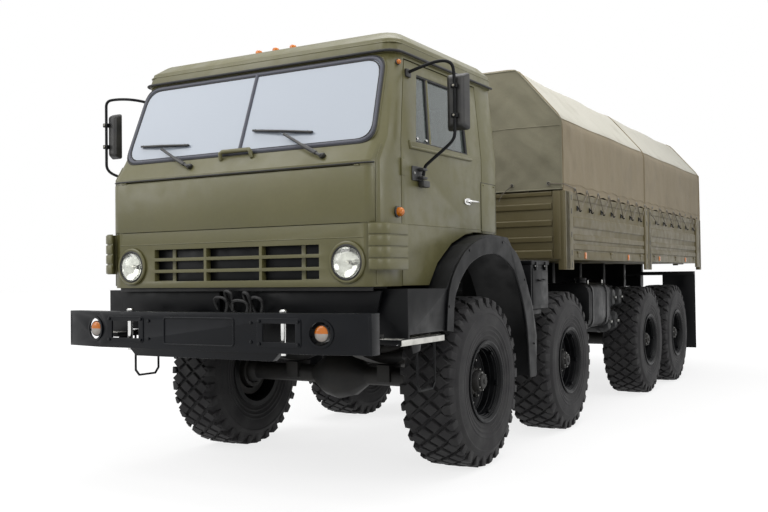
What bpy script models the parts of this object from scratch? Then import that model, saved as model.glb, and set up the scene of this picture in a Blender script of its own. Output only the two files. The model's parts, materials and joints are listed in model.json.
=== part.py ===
"""Military cargo truck, eight wheels all driven, forward-control cab, steel bed with a canvas cover.

Units are metres, +Z up. The front faces -Y and the driver's side is +X. The origin is on the ground,
under the middle of the truck. Left means the truck's own left, +X.
"""

import math

import bmesh
import bpy
from mathutils import Matrix, Vector

# Overall sizes. Places along the cab and bed are measured from a line across the truck, and heights
# from a level plane just over the ground. The whole truck is raised by datum_height at the end.
front_reach = 4.54
tail_reach = 4.54
body_half_width = 1.25
cab_datum_behind = 1.54
datum_height = 0.04

# The places of the axles along the truck
axle_1_behind = 0.13
spacing_1_2 = 1.83
spacing_2_3 = 2.81
spacing_3_4 = 1.37
wheel_radius = 0.61
half_track = 1.03

# Clearances that every piece shares
seat_gap = 0.0003
shut_gap = 0.008
overrun = 0.03
lap = 0.004

bumper_front = -front_reach
cab_datum = bumper_front + cab_datum_behind
axle_1 = cab_datum + axle_1_behind
axle_2 = axle_1 + spacing_1_2
axle_3 = axle_2 + spacing_2_3
axle_4 = axle_3 + spacing_3_4
tail = tail_reach
hub_height = wheel_radius - datum_height

# Tyre and wheel
tyre_steps = 24
tyre_width = 0.425
tread_half_width = 0.19
tread_share = 0.8
shoulder_radius = 0.575
widest_radius = 0.43
bead_half_width = 0.19
bead_radius = 0.2668
bead_depth = 0.035
rim_steps = 12
flange_width = 0.015
flange_height = 0.028
rim_wall = 0.016
drum_radius = 0.20
drum_depth = 0.13
drum_bore = 0.15
drum_floor = 0.03
disc_out = 0.045
disc_wall = 0.02
hub_radius = 0.105
hub_end_radius = 0.07
hub_reach = 0.19

# Axles, knuckles and springs
beam_radius = 0.07
beam_half = 0.66
ball_radius = 0.10
ball_steps = 6
axle_end_radius = 0.115
diff_radius = 0.19
diff_half = 0.12
diff_taper = 0.12
diff_neck = 0.16
axle_sides = 12
kingpin_x = 0.88
cup_radius = 0.135
cup_recess = 0.108
cup_wrap = 0.014
swivel_radius = 0.016
swivel_top = 0.138
steer_arm = 0.17
steer_arm_low = 0.075
steer_arm_wall = 0.03
steer_arm_half = 0.0125
spring_x = 0.42
spring_width = 0.09
spring_half = 0.62
spring_thick = 0.09
spring_end_thick = 0.025
spring_rise = 0.10
spring_pad = 0.02
pad_share = 0.6
spring_steps = 3
trunnion_radius = 0.055

# Ladder frame
rail_outer = 0.46
rail_flange = 0.08
rail_wall = 0.010
rail_bottom = 0.90
rail_top = 1.15
cross_depth = 0.09
cross_height = 0.14
hanger_width = 0.08
hanger_half = 0.045

# Engine, gearbox and shafts
engine_half = 0.33
engine_bottom = 0.99
engine_mount_ahead = 0.54
engine_top = 1.42
engine_front_ahead = 0.72
engine_rear_behind = 0.42
gearbox_half = 0.19
gearbox_top = 1.16
gearbox_rear_behind = 1.30
radiator_half = 0.37
radiator_depth = 0.09
radiator_top = 1.54
radiator_ahead = 1.014
transfer_half = 0.20
transfer_length = 0.42
transfer_bottom = 0.64
transfer_top = 1.135
transfer_behind_axle_2 = 0.80
shaft_radius = 0.045
shaft_sides = 8

# Front bumper
bumper_bottom = 0.88
bumper_top = 1.12
bumper_half = 1.228
bumper_bend = 0.86
bumper_sweep = 0.07
bumper_depth = 0.09
bumper_wall = 0.012
tow_window_x = 0.627
tow_window_half = 0.123
tow_window_low = 0.945
tow_window_high = 1.06
tow_pin_radius = 0.017
lamp_hole_x = 0.917
lamp_hole_radius = 0.071
lamp_radius = 0.050
lamp_depth = 0.05
lamp_back_share = 0.8
lamp_arm = 0.02
guard_half = 0.62
guard_drop = 0.05
guard_taper = 0.06
guard_depth = 0.05

# Cab
cab_bottom = 1.27
cab_face_ahead = 1.20
cab_waist = 2.04
cab_cowl = 2.19
cab_eave = 2.76
cab_half_bottom = 1.12
cab_tumble = 0.055
cowl_ahead = 1.10
eave_ahead = 0.885
cab_rear_behind = 0.63
cab_wall = 0.045
cab_corner = 0.10
cab_rear_corner = 0.05
corner_steps = 3
arch_crest = 1.633
arch_reach = 1.08
floor_wall = 0.03
footwell_floor = 1.32
cab_floor = 1.68
footwell_rear_ahead = 0.56
tunnel_half = 0.56

# The axis that the cab tilts about, and its lugs
tilt_ahead = 1.06
tilt_z = 1.12
pivot_radius = 0.02
lug_half = 0.022
lug_lean = 0.143

# Windscreen
screen_half_low = 1.00
screen_half_high = 0.955
screen_low = 2.24
screen_high = 2.72
divider_half = 0.014
gasket = 0.028
glass = 0.006

# Grille, front flap, headlamps
grille_half = 0.69
grille_low = 1.315
grille_high = 1.535
grille_columns = 3
grille_rows = 3
grille_bar = 0.022
flap_half = 0.985
flap_low = 1.665
flap_high = 2.010
flap_thick = 0.026
flap_pin_radius = 0.007
headlamp_inset = 0.22
headlamp_z = 1.42
headlamp_radius = 0.115
headlamp_glass_radius = 0.095
headlamp_dome = 0.035
headlamp_depth = 0.038
headlamp_edge_share = 0.3
headlamp_dome_share = 0.5
lamp_sides = 16

# Doors and their windows
door_front_ahead = 0.905
door_rear_behind = 0.325
door_low = 1.272
door_high = 2.735
door_lean = 0.145
door_hinge_half = 0.055
door_hinge_low = 1.52
door_hinge_high = 2.02
door_leaf = 0.05
window_front_ahead = 0.70
window_rear_behind = 0.09
window_low = 2.20
window_high = 2.66
window_lean = 0.10

# Roof
roof_skirt = 0.012
roof_wall = 0.03
roof_rise = 0.215
roof_shoulder_share = 0.465
roof_bend_share = 0.744
roof_brow = 0.02
roof_bend_in = 0.06
roof_bend_back = 0.10
roof_crown_in = 0.22
roof_crown_back = 0.33
roof_crown_ahead = 0.18
roof_bend_ahead = 0.05

# Rear window of the cab
rear_window_half = 0.42
rear_window_low = 2.25
rear_window_high = 2.58

# Seats, dashboard and steering wheel
seat_width = 0.50
seat_depth = 0.50
seat_thick = 0.14
seat_back_height = 0.62
seat_back_thick = 0.12
seat_x = 0.62
seat_top = 1.98
seat_front_ahead = 0.32
seat_base_inset = 0.06
seat_bench_inner = 0.22
dash_depth = 0.30
dash_low = 1.90
dash_high = 2.16
dash_behind_screen = 0.0585
dash_chamfer = 0.05
dash_lip = 0.04
dash_top_share = 0.7
dash_bracket = 0.06
wheel_rim_radius = 0.235
wheel_rim_wire = 0.014
wheel_tilt_degrees = 35
wheel_ahead = 0.62
wheel_z = 2.12
column_radius = 0.03
column_length = 0.30
wheel_ring_steps = 12

# Mirrors
mirror_x = 1.37
mirror_half_width = 0.085
mirror_thick = 0.07
mirror_low = 2.26
mirror_high = 2.64
mirror_ahead = 0.60
mirror_arm_radius = 0.011
mirror_bend = 0.02
mirror_foot_low = 1.99
mirror_foot_high = 2.60
mirror_foot_ahead = 0.66
mirror_root_ahead = 0.73
mirror_foot_half = 0.03
mirror_foot_wall = 0.014

# Fenders and steps at the first axle
fender_outer = 1.25
fender_inner = 0.80
fender_wall = 0.018
fairing_low = 0.975
fairing_front_ahead = 1.08
step_low = 0.92
step_plate = 0.03
step_front_ahead = 1.17
step_rear_ahead = 0.59
step_inner = 1.08
stirrup_radius = 0.009
stirrup_bend_share = 0.7
stirrup_low = 0.61
stirrup_half = 0.12
stirrup_x = 1.20
stirrup_ahead = 0.757

# Side equipment
box_front_behind = 1.07
box_rear_behind = 1.465
box_outer = 1.21
box_inner = 0.60
box_low = 1.05
box_high = 1.44
tank_front_behind = 0.76
tank_length = 0.72
tank_outer = 1.16
tank_inner = 0.62
tank_low = 0.80
tank_high = 1.24
tank_corner = 0.10
air_radius = 0.115
air_half = 0.28
air_x = 0.82
air_dome = 0.05
air_end_share = 0.2
air_waist_share = 0.7
air_sides = 10
air_ahead = 0.72
air_row_shift = 0.16
air_gap = 0.02
air_high = 1.08
tank_right_length = 0.95
stay_size = 0.05
stay_low = 1.0
apron_inner = 0.17
apron_outer = 1.06
apron_flare = 0.035
apron_setback = 0.07
apron_low = 1.10
apron_gap = 0.027
tail_bar_low = 1.30

# Outlines over the front wheel from the side, as shares of arch_reach behind the cab's datum and of
# arch_crest above the datum plane: the cab's lower edge, the fender's tail and the inner edge of its lip
cab_edge_shares = (
    (-0.5046, 0.7685),
    (-0.3852, 0.8610),
    (-0.1796, 0.9449),
    (0.0361, 0.9884),
    (0.1741, 1.0000),
)
fender_tail_shares = (
    (0.4630, 0.9859),
    (0.7593, 0.8206),
    (0.9259, 0.6614),
    (1.0000, 0.5144),
    (0.9722, 0.3184),
)
fender_lip_shares = (
    (-0.4250, 0.5971),
    (-0.3917, 0.7287),
    (-0.2917, 0.8083),
    (-0.1574, 0.8665),
    (0.0278, 0.9032),
    (0.2593, 0.9124),
    (0.4352, 0.8818),
    (0.5713, 0.8377),
    (0.7148, 0.7103),
    (0.8083, 0.5542),
    (0.8481, 0.3184),
)

# Bed
bed_front_behind = 1.79
bed_middle_behind = 4.60
bed_floor_low = 1.46
bed_floor_high = 1.56
board_top = 2.06
board_wall = 0.035
post_width = 0.10
post_wall = 0.045
post_low = 1.37
bolster_width = 0.08
rib_depth = 0.018

# Tailgate hinges
gate_pin_radius = 0.012
gate_hinge_count = 4
gate_hinge_reach = 0.95
gate_hinge_length = 0.07

# Canvas cover
cover_eave = 2.69
cover_top = 3.17
cover_flat_half = 0.84
cover_wall = 0.022
cover_slope_share = 0.4
bow_wire = 0.028
bow_count = 5

# Rear mud flaps
flap_rear_behind = 7.15
mudflap_inner = 0.80
mudflap_outer = 1.24
mudflap_wall = 0.012
mudflap_low = 0.30


def clear_scene():
    for thing in list(bpy.data.objects):
        bpy.data.objects.remove(thing, do_unlink=True)


def new_collection(name, hidden=False):
    made = bpy.data.collections.new(name)
    made.hide_render = hidden
    bpy.context.scene.collection.children.link(made)
    return made


clear_scene()
TRUCK = new_collection("cargo_truck")
CUTTERS = new_collection("cutters", hidden=True)


def paint(name, colour, roughness, metallic=0.0):
    made = bpy.data.materials.new(name)
    made.use_nodes = True
    shader = made.node_tree.nodes["Principled BSDF"]
    shader.inputs["Base Color"].default_value = (*colour, 1.0)
    shader.inputs["Roughness"].default_value = roughness
    shader.inputs["Metallic"].default_value = metallic
    return made


OLIVE = paint("olive_enamel", (0.150, 0.135, 0.060), 0.5)
CHASSIS_BLACK = paint("chassis_black", (0.012, 0.013, 0.017), 0.5)
RUBBER = paint("tyre_rubber", (0.018, 0.018, 0.018), 0.85)
CAST_IRON = paint("cast_iron", (0.03, 0.03, 0.032), 0.6, 0.4)
GLASS = paint("window_glass", (0.62, 0.68, 0.72), 0.05)
LAMP_GLASS = paint("lamp_glass", (0.85, 0.85, 0.82), 0.1)
CANVAS = paint("canvas", (0.22, 0.20, 0.14), 0.9)
TRIM = paint("black_plastic", (0.02, 0.02, 0.022), 0.55)
SEAT_CLOTH = paint("seat_cloth", (0.05, 0.05, 0.05), 0.85)


def add_object(name, mesh, material=None, collection=None):
    made = bpy.data.objects.new(name, mesh)
    (collection or TRUCK).objects.link(made)
    if material:
        mesh.materials.clear()
        mesh.materials.append(material)
    return made


def baked(obj, name=None, material=None):
    """The object's evaluated mesh as a new object with its place in the mesh, in place of the old one."""
    bpy.context.view_layer.update()
    graph = bpy.context.evaluated_depsgraph_get()
    mesh = bpy.data.meshes.new_from_object(obj.evaluated_get(graph))
    mesh.transform(obj.matrix_world)
    work = bmesh.new()
    work.from_mesh(mesh)
    bmesh.ops.remove_doubles(work, verts=work.verts, dist=0.00001)
    bmesh.ops.recalc_face_normals(work, faces=work.faces)
    work.to_mesh(mesh)
    work.free()
    new_name = name or obj.name
    bpy.data.objects.remove(obj, do_unlink=True)
    return add_object(new_name, mesh, material)


def box(name, low, high, material=None):
    """A cuboid between two corners."""
    low, high = Vector(low), Vector(high)
    work = bmesh.new()
    bmesh.ops.create_cube(work, size=1.0)
    bmesh.ops.scale(work, vec=high - low, verts=work.verts)
    bmesh.ops.translate(work, vec=(low + high) / 2, verts=work.verts)
    mesh = bpy.data.meshes.new(name)
    work.to_mesh(mesh)
    work.free()
    return add_object(name, mesh, material)


def rod(name, start, end, radius, sides, material=None, end_radius=None):
    """A cylinder, or a cone with a second radius, between two points."""
    start, end = Vector(start), Vector(end)
    along = end - start
    turn = along.to_track_quat("Z", "Y").to_matrix().to_4x4()
    work = bmesh.new()
    bmesh.ops.create_cone(
        work,
        cap_ends=True,
        segments=sides,
        radius1=radius,
        radius2=radius if end_radius is None else end_radius,
        depth=along.length,
    )
    bmesh.ops.transform(work, matrix=Matrix.Translation((start + end) / 2) @ turn, verts=work.verts)
    mesh = bpy.data.meshes.new(name)
    work.to_mesh(mesh)
    work.free()
    return add_object(name, mesh, material)


# How a flat outline's own x, y and thickness lie in the truck
ALONG_TRUCK = Matrix(((0, 0, 1, 0), (1, 0, 0, 0), (0, 1, 0, 0), (0, 0, 0, 1)))
ACROSS_TRUCK = Matrix(((1, 0, 0, 0), (0, 0, -1, 0), (0, 1, 0, 0), (0, 0, 0, 1)))
FROM_ABOVE = Matrix.Identity(4)


def plate(name, points, low, high, lie, material=None):
    """A flat outline between two depths. It lies in Y and Z, in X and Z, or in X and Y."""
    curve = bpy.data.curves.new(name, "CURVE")
    curve.dimensions = "2D"
    curve.fill_mode = "BOTH"
    curve.extrude = (high - low) / 2
    line = curve.splines.new("POLY")
    line.points.add(len(points) - 1)
    for point, (x, y) in zip(line.points, points):
        point.co = (x, y, 0, 1)
    line.use_cyclic_u = True
    made = add_object(name, curve)
    depth = (low + high) / 2 if lie is not ACROSS_TRUCK else -(low + high) / 2
    made.matrix_world = lie @ Matrix.Translation((0, 0, depth))
    return baked(made, material=material)


def turned(name, profile, centre, steps, material=None):
    """A profile of (distance along X, radius) points turned about the line along X through the centre."""
    mesh = bpy.data.meshes.new(name)
    work = bmesh.new()
    points = [work.verts.new((x, 0, radius)) for x, radius in profile]
    for first, second in zip(points, points[1:]):
        work.edges.new((first, second))
    if profile[0][1] and profile[-1][1]:
        work.edges.new((points[-1], points[0]))
    work.to_mesh(mesh)
    work.free()
    made = add_object(name, mesh)
    screw = made.modifiers.new("turn", "SCREW")
    screw.axis = "X"
    screw.angle = math.tau
    screw.steps = screw.render_steps = steps
    screw.use_merge_vertices = True
    screw.merge_threshold = 0.0001
    made.matrix_world = Matrix.Translation(centre) @ Matrix.Rotation(math.pi / steps, 4, "X")
    return baked(made, material=material)


def wire(name, points, radius, material=None, rounds=2, closed=False):
    """A bent round bar through the points, with filled ends, or closed into a ring."""
    curve = bpy.data.curves.new(name, "CURVE")
    curve.dimensions = "3D"
    curve.bevel_depth = radius
    curve.bevel_resolution = rounds
    curve.use_fill_caps = True
    line = curve.splines.new("POLY")
    line.points.add(len(points) - 1)
    for point, place in zip(line.points, points):
        point.co = (*place, 1)
    line.use_cyclic_u = closed
    made = add_object(name, curve)
    return baked(made, material=material)


def combine(obj, others, operation):
    """The object joined with, cut by, or limited to the others, as one mesh."""
    group = bpy.data.collections.new("group")
    CUTTERS.children.link(group)
    for other in others:
        for home in list(other.users_collection):
            home.objects.unlink(other)
        group.objects.link(other)
        other.hide_render = True
        other.display_type = "WIRE"
    name, material = obj.name, obj.data.materials[0] if obj.data.materials else None
    step = obj.modifiers.new(operation.lower(), "BOOLEAN")
    step.operation = operation
    step.solver = "EXACT"
    step.operand_type = "COLLECTION"
    step.collection = group
    made = baked(obj, name, material)
    for other in others:
        bpy.data.objects.remove(other, do_unlink=True)
    bpy.data.collections.remove(group)
    return made


def join(obj, *others):
    return combine(obj, others, "UNION")


def cut(obj, *cutters):
    return combine(obj, cutters, "DIFFERENCE")


def set_origin(obj, point):
    """Puts the object's origin on its joint's axis without moving its mesh."""
    obj.data.transform(Matrix.Translation(-Vector(point)))
    obj.location = point


def loft(name, sections, material=None):
    """A closed skin through level outlines with as many points each, from the lowest up."""
    work = bmesh.new()
    rings = [[work.verts.new(point) for point in section] for section in sections]
    for lower, upper in zip(rings, rings[1:]):
        count = len(lower)
        for i in range(count):
            j = (i + 1) % count
            work.faces.new((lower[i], lower[j], upper[j], upper[i]))
    work.faces.new(list(reversed(rings[0])))
    work.faces.new(rings[-1])
    bmesh.ops.recalc_face_normals(work, faces=work.faces)
    mesh = bpy.data.meshes.new(name)
    work.to_mesh(mesh)
    work.free()
    return add_object(name, mesh, material)


def rounded_plan(half_width, front, rear, front_corner, rear_corner, z, steps=corner_steps):
    """A level outline with round corners, seen from above, anticlockwise."""
    corners = (
        (half_width - front_corner, front + front_corner, front_corner, -math.pi / 2),
        (half_width - rear_corner, rear - rear_corner, rear_corner, 0),
        (-half_width + rear_corner, rear - rear_corner, rear_corner, math.pi / 2),
        (-half_width + front_corner, front + front_corner, front_corner, math.pi),
    )
    points = []
    for x, y, radius, first in corners:
        for i in range(steps + 1):
            angle = first + math.pi / 2 * i / steps
            points.append((x + radius * math.cos(angle), y + radius * math.sin(angle), z))
    return points


SIDES = (("left", 1), ("right", -1))


# Wheels

def tyre(name, centre):
    """A ring out to the lugs' tips, flat at its lowest point so that the truck stands on facets."""
    tip = wheel_radius / math.cos(math.pi / tyre_steps)
    bead = bead_radius / math.cos(math.pi / tyre_steps)
    profile = (
        (-bead_half_width, bead),
        (-bead_half_width, bead + bead_depth),
        (-tyre_width / 2, widest_radius),
        (-tread_half_width, shoulder_radius),
        (-tread_half_width * tread_share, tip),
        (tread_half_width * tread_share, tip),
        (tread_half_width, shoulder_radius),
        (tyre_width / 2, widest_radius),
        (bead_half_width, bead + bead_depth),
        (bead_half_width, bead),
    )
    return turned(name, profile, centre, tyre_steps, RUBBER)


def rim(name, centre, side):
    """The wheel: barrel with two flanges, deep disc, hollow brake drum behind it and hub nose in front."""
    seat = bead_radius - seat_gap
    edge = bead_half_width + seat_gap
    lip = edge + flange_width
    profile = (
        (-drum_floor, 0),
        (-drum_floor, drum_bore),
        (-drum_depth, drum_bore),
        (-drum_depth, drum_radius),
        (disc_out - disc_wall, drum_radius),
        (disc_out - disc_wall, seat - 2 * rim_wall),
        (-lip, seat - rim_wall),
        (-lip, seat + flange_height),
        (-edge, seat + flange_height),
        (-edge, seat),
        (edge, seat),
        (edge, seat + flange_height),
        (lip, seat + flange_height),
        (lip, seat - rim_wall),
        (disc_out + disc_wall, seat - 2 * rim_wall),
        (disc_out, hub_radius + 2 * disc_wall),
        (disc_out + disc_wall, hub_radius),
        (hub_reach, hub_end_radius),
        (hub_reach, 0),
    )
    profile = tuple((side * x, radius) for x, radius in profile)
    return turned(name, profile, centre, rim_steps, CHASSIS_BLACK)


wheel_places = {}
for number, place in ((1, axle_1), (2, axle_2), (3, axle_3), (4, axle_4)):
    for word, side in SIDES:
        centre = (side * half_track, place, hub_height)
        wheel_places[number, word] = centre
        set_origin(tyre(f"tyre_{number}_{word}", centre), centre)
        set_origin(rim(f"wheel_{number}_{word}", centre, side), centre)


# Axles with their springs

def arc(radius, first, last, steps):
    """Points of an arc about the kingpin's centre, as distance along X and radius."""
    angles = [first + (last - first) * i / steps for i in range(steps + 1)]
    return [(radius * math.cos(angle), radius * math.sin(angle)) for angle in angles]


def half_axle_profile(steered):
    """From the middle out: differential, tube, and a swivel ball or a hub end."""
    inner = [(0, diff_radius), (diff_half, diff_neck), (diff_half + diff_taper, beam_radius)]
    if steered:
        ball = arc(ball_radius, math.pi - math.asin(beam_radius / ball_radius), 0, ball_steps)
        return inner + [(kingpin_x + x, radius) for x, radius in ball[:-1]] + [(kingpin_x + ball_radius, 0)]
    return inner + [
        (beam_half, beam_radius),
        (drum_back, axle_end_radius),
        (hub_seat, axle_end_radius),
        (hub_seat, 0),
    ]


def axle_beam(name, place, steered):
    half = half_axle_profile(steered)
    profile = [(-x, radius) for x, radius in reversed(half)] + half[1:]
    return turned(name, profile, (0, place, hub_height), axle_sides, CAST_IRON)


def spring_line(middle, half, rise):
    """Seven points along a spring: place, share from the middle, and bend upwards at that place."""
    shares = [i / spring_steps - 1 for i in range(2 * spring_steps + 1)]
    return [(middle + half * share, abs(share), rise * share * share) for share in shares]


def leaf_pack(name, side, line, middle_z, turn):
    """A bow of leaves seen from the side, thick in the middle. The turn is 1 for eyes up, else -1."""
    main = [(y, middle_z + turn * bend) for y, _, bend in line]
    back = [
        (y, middle_z + turn * bend - spring_thick + (spring_thick - spring_end_thick) * share)
        for y, share, bend in line
    ]
    x = side * spring_x
    return plate(name, back + list(reversed(main)), x - spring_width / 2, x + spring_width / 2, ALONG_TRUCK)


spring_seat = hub_height + beam_radius + spring_pad
drum_back = half_track - drum_depth
hub_seat = half_track - drum_floor - seat_gap
for number, place in ((1, axle_1), (2, axle_2), (3, axle_3), (4, axle_4)):
    steered = number < 3
    beam = axle_beam(f"axle_{number}", place, steered)
    added = []
    for word, side in SIDES:
        x = side * spring_x
        added.append(
            box(
                f"pad_{word}",
                (x - spring_width * pad_share, place - spring_width, hub_height - beam_radius / 2),
                (x + spring_width * pad_share, place + spring_width, spring_seat + (lap if steered else 0)),
            )
        )
        if steered:
            line = spring_line(place, spring_half, spring_rise)
            added.append(leaf_pack(f"leaf_{word}", side, line, spring_seat + spring_thick, 1))
    if number in (1, 3):
        reach = spacing_1_2 if number == 1 else spacing_3_4
        added.append(
            rod(
                "shaft",
                (0, place + diff_radius - overrun, hub_height),
                (0, place + reach - diff_radius - seat_gap, hub_height),
                shaft_radius,
                shaft_sides,
            )
        )
    join(beam, *added)

# The rear bogie: springs with their eyes down, on a trunnion tube between the last two axles
bogie = (axle_3 + axle_4) / 2
bogie_half = spacing_3_4 / 2 + spring_width / 2
bogie_top = spring_seat + seat_gap + spring_rise + spring_end_thick
trunnion_z = bogie_top - spring_thick
trunnion = rod(
    "rear_springs",
    (-spring_x - spring_width, bogie, trunnion_z),
    (spring_x + spring_width, bogie, trunnion_z),
    trunnion_radius,
    axle_sides,
    CAST_IRON,
)
packs = [
    leaf_pack(f"pack_{word}", side, spring_line(bogie, bogie_half, spring_rise), bogie_top, -1)
    for word, side in SIDES
]
join(trunnion, *packs)

# Knuckles of the two steered axles: a cup around the axle's ball, two swivel pins and a steering arm
ball_flat = ball_radius * math.cos(math.pi / axle_sides)
cup_open = math.pi - math.asin(math.sqrt(cup_recess ** 2 - cup_wrap ** 2) / cup_recess)
for number, turn in ((1, 1), (2, -1)):
    for word, side in SIDES:
        place = wheel_places[number, word][1]
        x = side * kingpin_x
        recess = arc(cup_recess, 0, cup_open, ball_steps)
        cup_floor = hub_seat - kingpin_x
        profile = [(cup_recess, 0)] + recess[1:]
        profile += [(-cup_wrap, cup_radius), (cup_floor, cup_radius), (cup_floor, 0)]
        knuckle = turned(
            f"knuckle_{number}_{word}",
            [(side * along, radius) for along, radius in profile],
            (x, place, hub_height),
            axle_sides,
            CAST_IRON,
        )
        swivels = [
            rod(
                "swivel",
                (x, place, hub_height + end * (ball_flat + seat_gap)),
                (x, place, hub_height + end * swivel_top),
                swivel_radius,
                shaft_sides,
            )
            for end in (-1, 1)
        ]
        near, far = sorted((place, place + turn * steer_arm))
        arm = box(
            "arm",
            (x - steer_arm_half, near, hub_height + steer_arm_low),
            (x + steer_arm_half, far, hub_height + steer_arm_low + steer_arm_wall),
        )
        # The arm's root ends inside the cup's wall, clear of the ball
        arm = cut(
            arm,
            rod(
                "arm_clear",
                (x - cup_radius, place, hub_height),
                (x + cup_radius, place, hub_height),
                (ball_radius + cup_radius) / 2,
                axle_sides,
            ),
        )
        knuckle = join(knuckle, arm, *swivels)
        set_origin(knuckle, (x, place, hub_height))

# Ladder frame: two channel rails, crossmembers, spring hangers and bolsters for the bed
bed_front = cab_datum + bed_front_behind
bed_middle = cab_datum + bed_middle_behind
bed_rear = tail - board_wall - shut_gap
tilt_y = cab_datum - tilt_ahead
horn_front = bumper_front + bumper_wall + seat_gap
rail_front = cab_datum - cab_face_ahead + apron_setback + fender_wall + shut_gap
rail_rear = bed_rear - board_wall
radiator_front = cab_datum - radiator_ahead


def channel_rail(name, side):
    outer, inner = side * rail_outer, side * (rail_outer - rail_flange)
    rail = box(name, (min(outer, inner), rail_front, rail_bottom), (max(outer, inner), rail_rear, rail_top))
    mouth_outer, mouth_inner = side * (rail_outer - rail_wall), side * (rail_outer - rail_flange - overrun)
    mouth = box(
        "mouth",
        (min(mouth_outer, mouth_inner), rail_front - overrun, rail_bottom + rail_wall),
        (max(mouth_outer, mouth_inner), rail_rear + overrun, rail_top - rail_wall),
    )
    return cut(rail, mouth)


frame = channel_rail("frame", 1)
frame.data.materials.append(CHASSIS_BLACK)
added = [channel_rail("rail_right", -1)]
cross_half = rail_outer - rail_wall / 2
cross_top = rail_bottom + rail_wall / 2 + cross_height
cross_places = (
    rail_front + cross_depth / 2,
    cab_datum + (gearbox_rear_behind + engine_rear_behind) / 2 + cross_depth,
    axle_2 + transfer_behind_axle_2 - cross_depth,
    axle_2 + transfer_behind_axle_2 + transfer_length + cross_depth,
    axle_3 - cross_depth,
    bogie,
    axle_4 + cross_depth,
    rail_rear - cross_depth,
)
under_engine = (cab_datum - engine_mount_ahead, *cross_places[1:3])
for i, place in enumerate(cross_places + under_engine[:1]):
    added.append(
        box(
            f"cross_{i}",
            (-cross_half, place - cross_depth / 2, rail_bottom + rail_wall / 2),
            (
                cross_half,
                place + cross_depth / 2,
                engine_bottom - seat_gap if place in under_engine else cross_top,
            ),
        )
    )
eye_top = spring_seat + spring_rise + spring_thick
for word, side in SIDES:
    x = side * spring_x
    low, high = sorted((side * rail_outer, side * (rail_outer - rail_flange)))
    added.append(
        box(
            f"horn_{word}",
            (low, horn_front, rail_bottom),
            (high, rail_front + overrun, apron_low - seat_gap),
        )
    )
    added.append(
        rod(
            f"cab_pivot_{word}",
            (side * (rail_outer - rail_wall / 2), tilt_y, tilt_z),
            (side * (tunnel_half - floor_wall + lap - seat_gap), tilt_y, tilt_z),
            pivot_radius,
            axle_sides,
        )
    )
    for place in (axle_1, axle_2):
        for end in (-1, 1):
            y = place + end * (spring_half - hanger_half)
            added.append(
                box(
                    f"hanger_{word}",
                    (x - hanger_width / 2, y - hanger_half, eye_top + seat_gap),
                    (x + hanger_width / 2, y + hanger_half, rail_bottom + rail_wall / 2),
                )
            )
    added.append(
        box(
            f"bogie_bracket_{word}",
            (x - hanger_width / 2, bogie - hanger_half, bogie_top + seat_gap),
            (x + hanger_width / 2, bogie + hanger_half, rail_bottom + rail_wall / 2),
        )
    )
bolster_places = [
    bed_front + post_width / 2 + (bed_rear - bed_front - post_width) * i / 6 for i in range(7)
]
for i, place in enumerate(bolster_places):
    added.append(
        box(
            f"bolster_{i}",
            (-rail_outer, place - bolster_width / 2, rail_top - rail_wall / 2),
            (rail_outer, place + bolster_width / 2, bed_floor_low - seat_gap),
        )
    )
frame = join(frame, *added)

# Engine with its gearbox, radiator, transfer case and shafts
engine_front = cab_datum - engine_front_ahead
engine_rear = cab_datum + engine_rear_behind
gearbox_rear = cab_datum + gearbox_rear_behind
join(
    box(
        "engine",
        (-engine_half, engine_front, engine_bottom),
        (engine_half, engine_rear, engine_top),
        CAST_IRON,
    ),
    box(
        "gearbox",
        (-gearbox_half, engine_rear - overrun, engine_bottom),
        (gearbox_half, gearbox_rear, gearbox_top),
    ),
)
radiator_bottom = cross_top + seat_gap
radiator = box(
    "radiator",
    (-radiator_half, radiator_front - radiator_depth, radiator_bottom),
    (radiator_half, radiator_front, radiator_top),
    CHASSIS_BLACK,
)
shroud = box(
    "shroud",
    (-engine_half, radiator_front - overrun, radiator_bottom + radiator_depth),
    (engine_half, engine_front - seat_gap, radiator_top - 2 * radiator_depth),
)
radiator = join(radiator, shroud)

transfer_front = axle_2 + transfer_behind_axle_2
transfer_rear = transfer_front + transfer_length
input_z = (engine_bottom + gearbox_top) / 2

case = box(
    "transfer_case",
    (-transfer_half, transfer_front, transfer_bottom),
    (transfer_half, transfer_rear, transfer_top),
    CAST_IRON,
)
join(
    case,
    rod("front_shaft", (0, axle_2 + diff_radius + seat_gap, hub_height + shaft_radius),
        (0, transfer_front + overrun, hub_height + 2 * shaft_radius), shaft_radius, shaft_sides),
    rod("rear_shaft", (0, transfer_rear - overrun, hub_height + 2 * shaft_radius),
        (0, axle_3 - diff_radius - seat_gap, hub_height + shaft_radius), shaft_radius, shaft_sides),
    rod("input_shaft", (0, gearbox_rear + seat_gap, input_z),
        (0, transfer_front + overrun, input_z), shaft_radius, shaft_sides),
    box("case_ear", (-cross_half + rail_wall, transfer_front + transfer_length / 3, rail_bottom + rail_wall
                     + seat_gap),
        (cross_half - rail_wall, transfer_front + 2 * transfer_length / 3, rail_bottom + 5 * rail_wall)),
)

# Front bumper, a swept channel with two tow windows and two lamp holes

def bumper_outline(inset):
    front = bumper_front + inset
    half = bumper_half - inset
    back = bumper_front + bumper_depth
    swept = front + bumper_sweep
    return [
        (-half, back + bumper_sweep),
        (-half, swept),
        (-bumper_bend, front),
        (bumper_bend, front),
        (half, swept),
        (half, back + bumper_sweep),
        (bumper_bend, back),
        (-bumper_bend, back),
    ]


def bumper_core_outline():
    """The hollow behind the front wall, open to the rear."""
    front = bumper_front + bumper_wall
    half = bumper_half - bumper_wall
    back = bumper_front + bumper_depth + overrun
    return [
        (-half, back + bumper_sweep),
        (-half, front + bumper_sweep),
        (-bumper_bend, front),
        (bumper_bend, front),
        (half, front + bumper_sweep),
        (half, back + bumper_sweep),
        (bumper_bend, back),
        (-bumper_bend, back),
    ]


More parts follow.
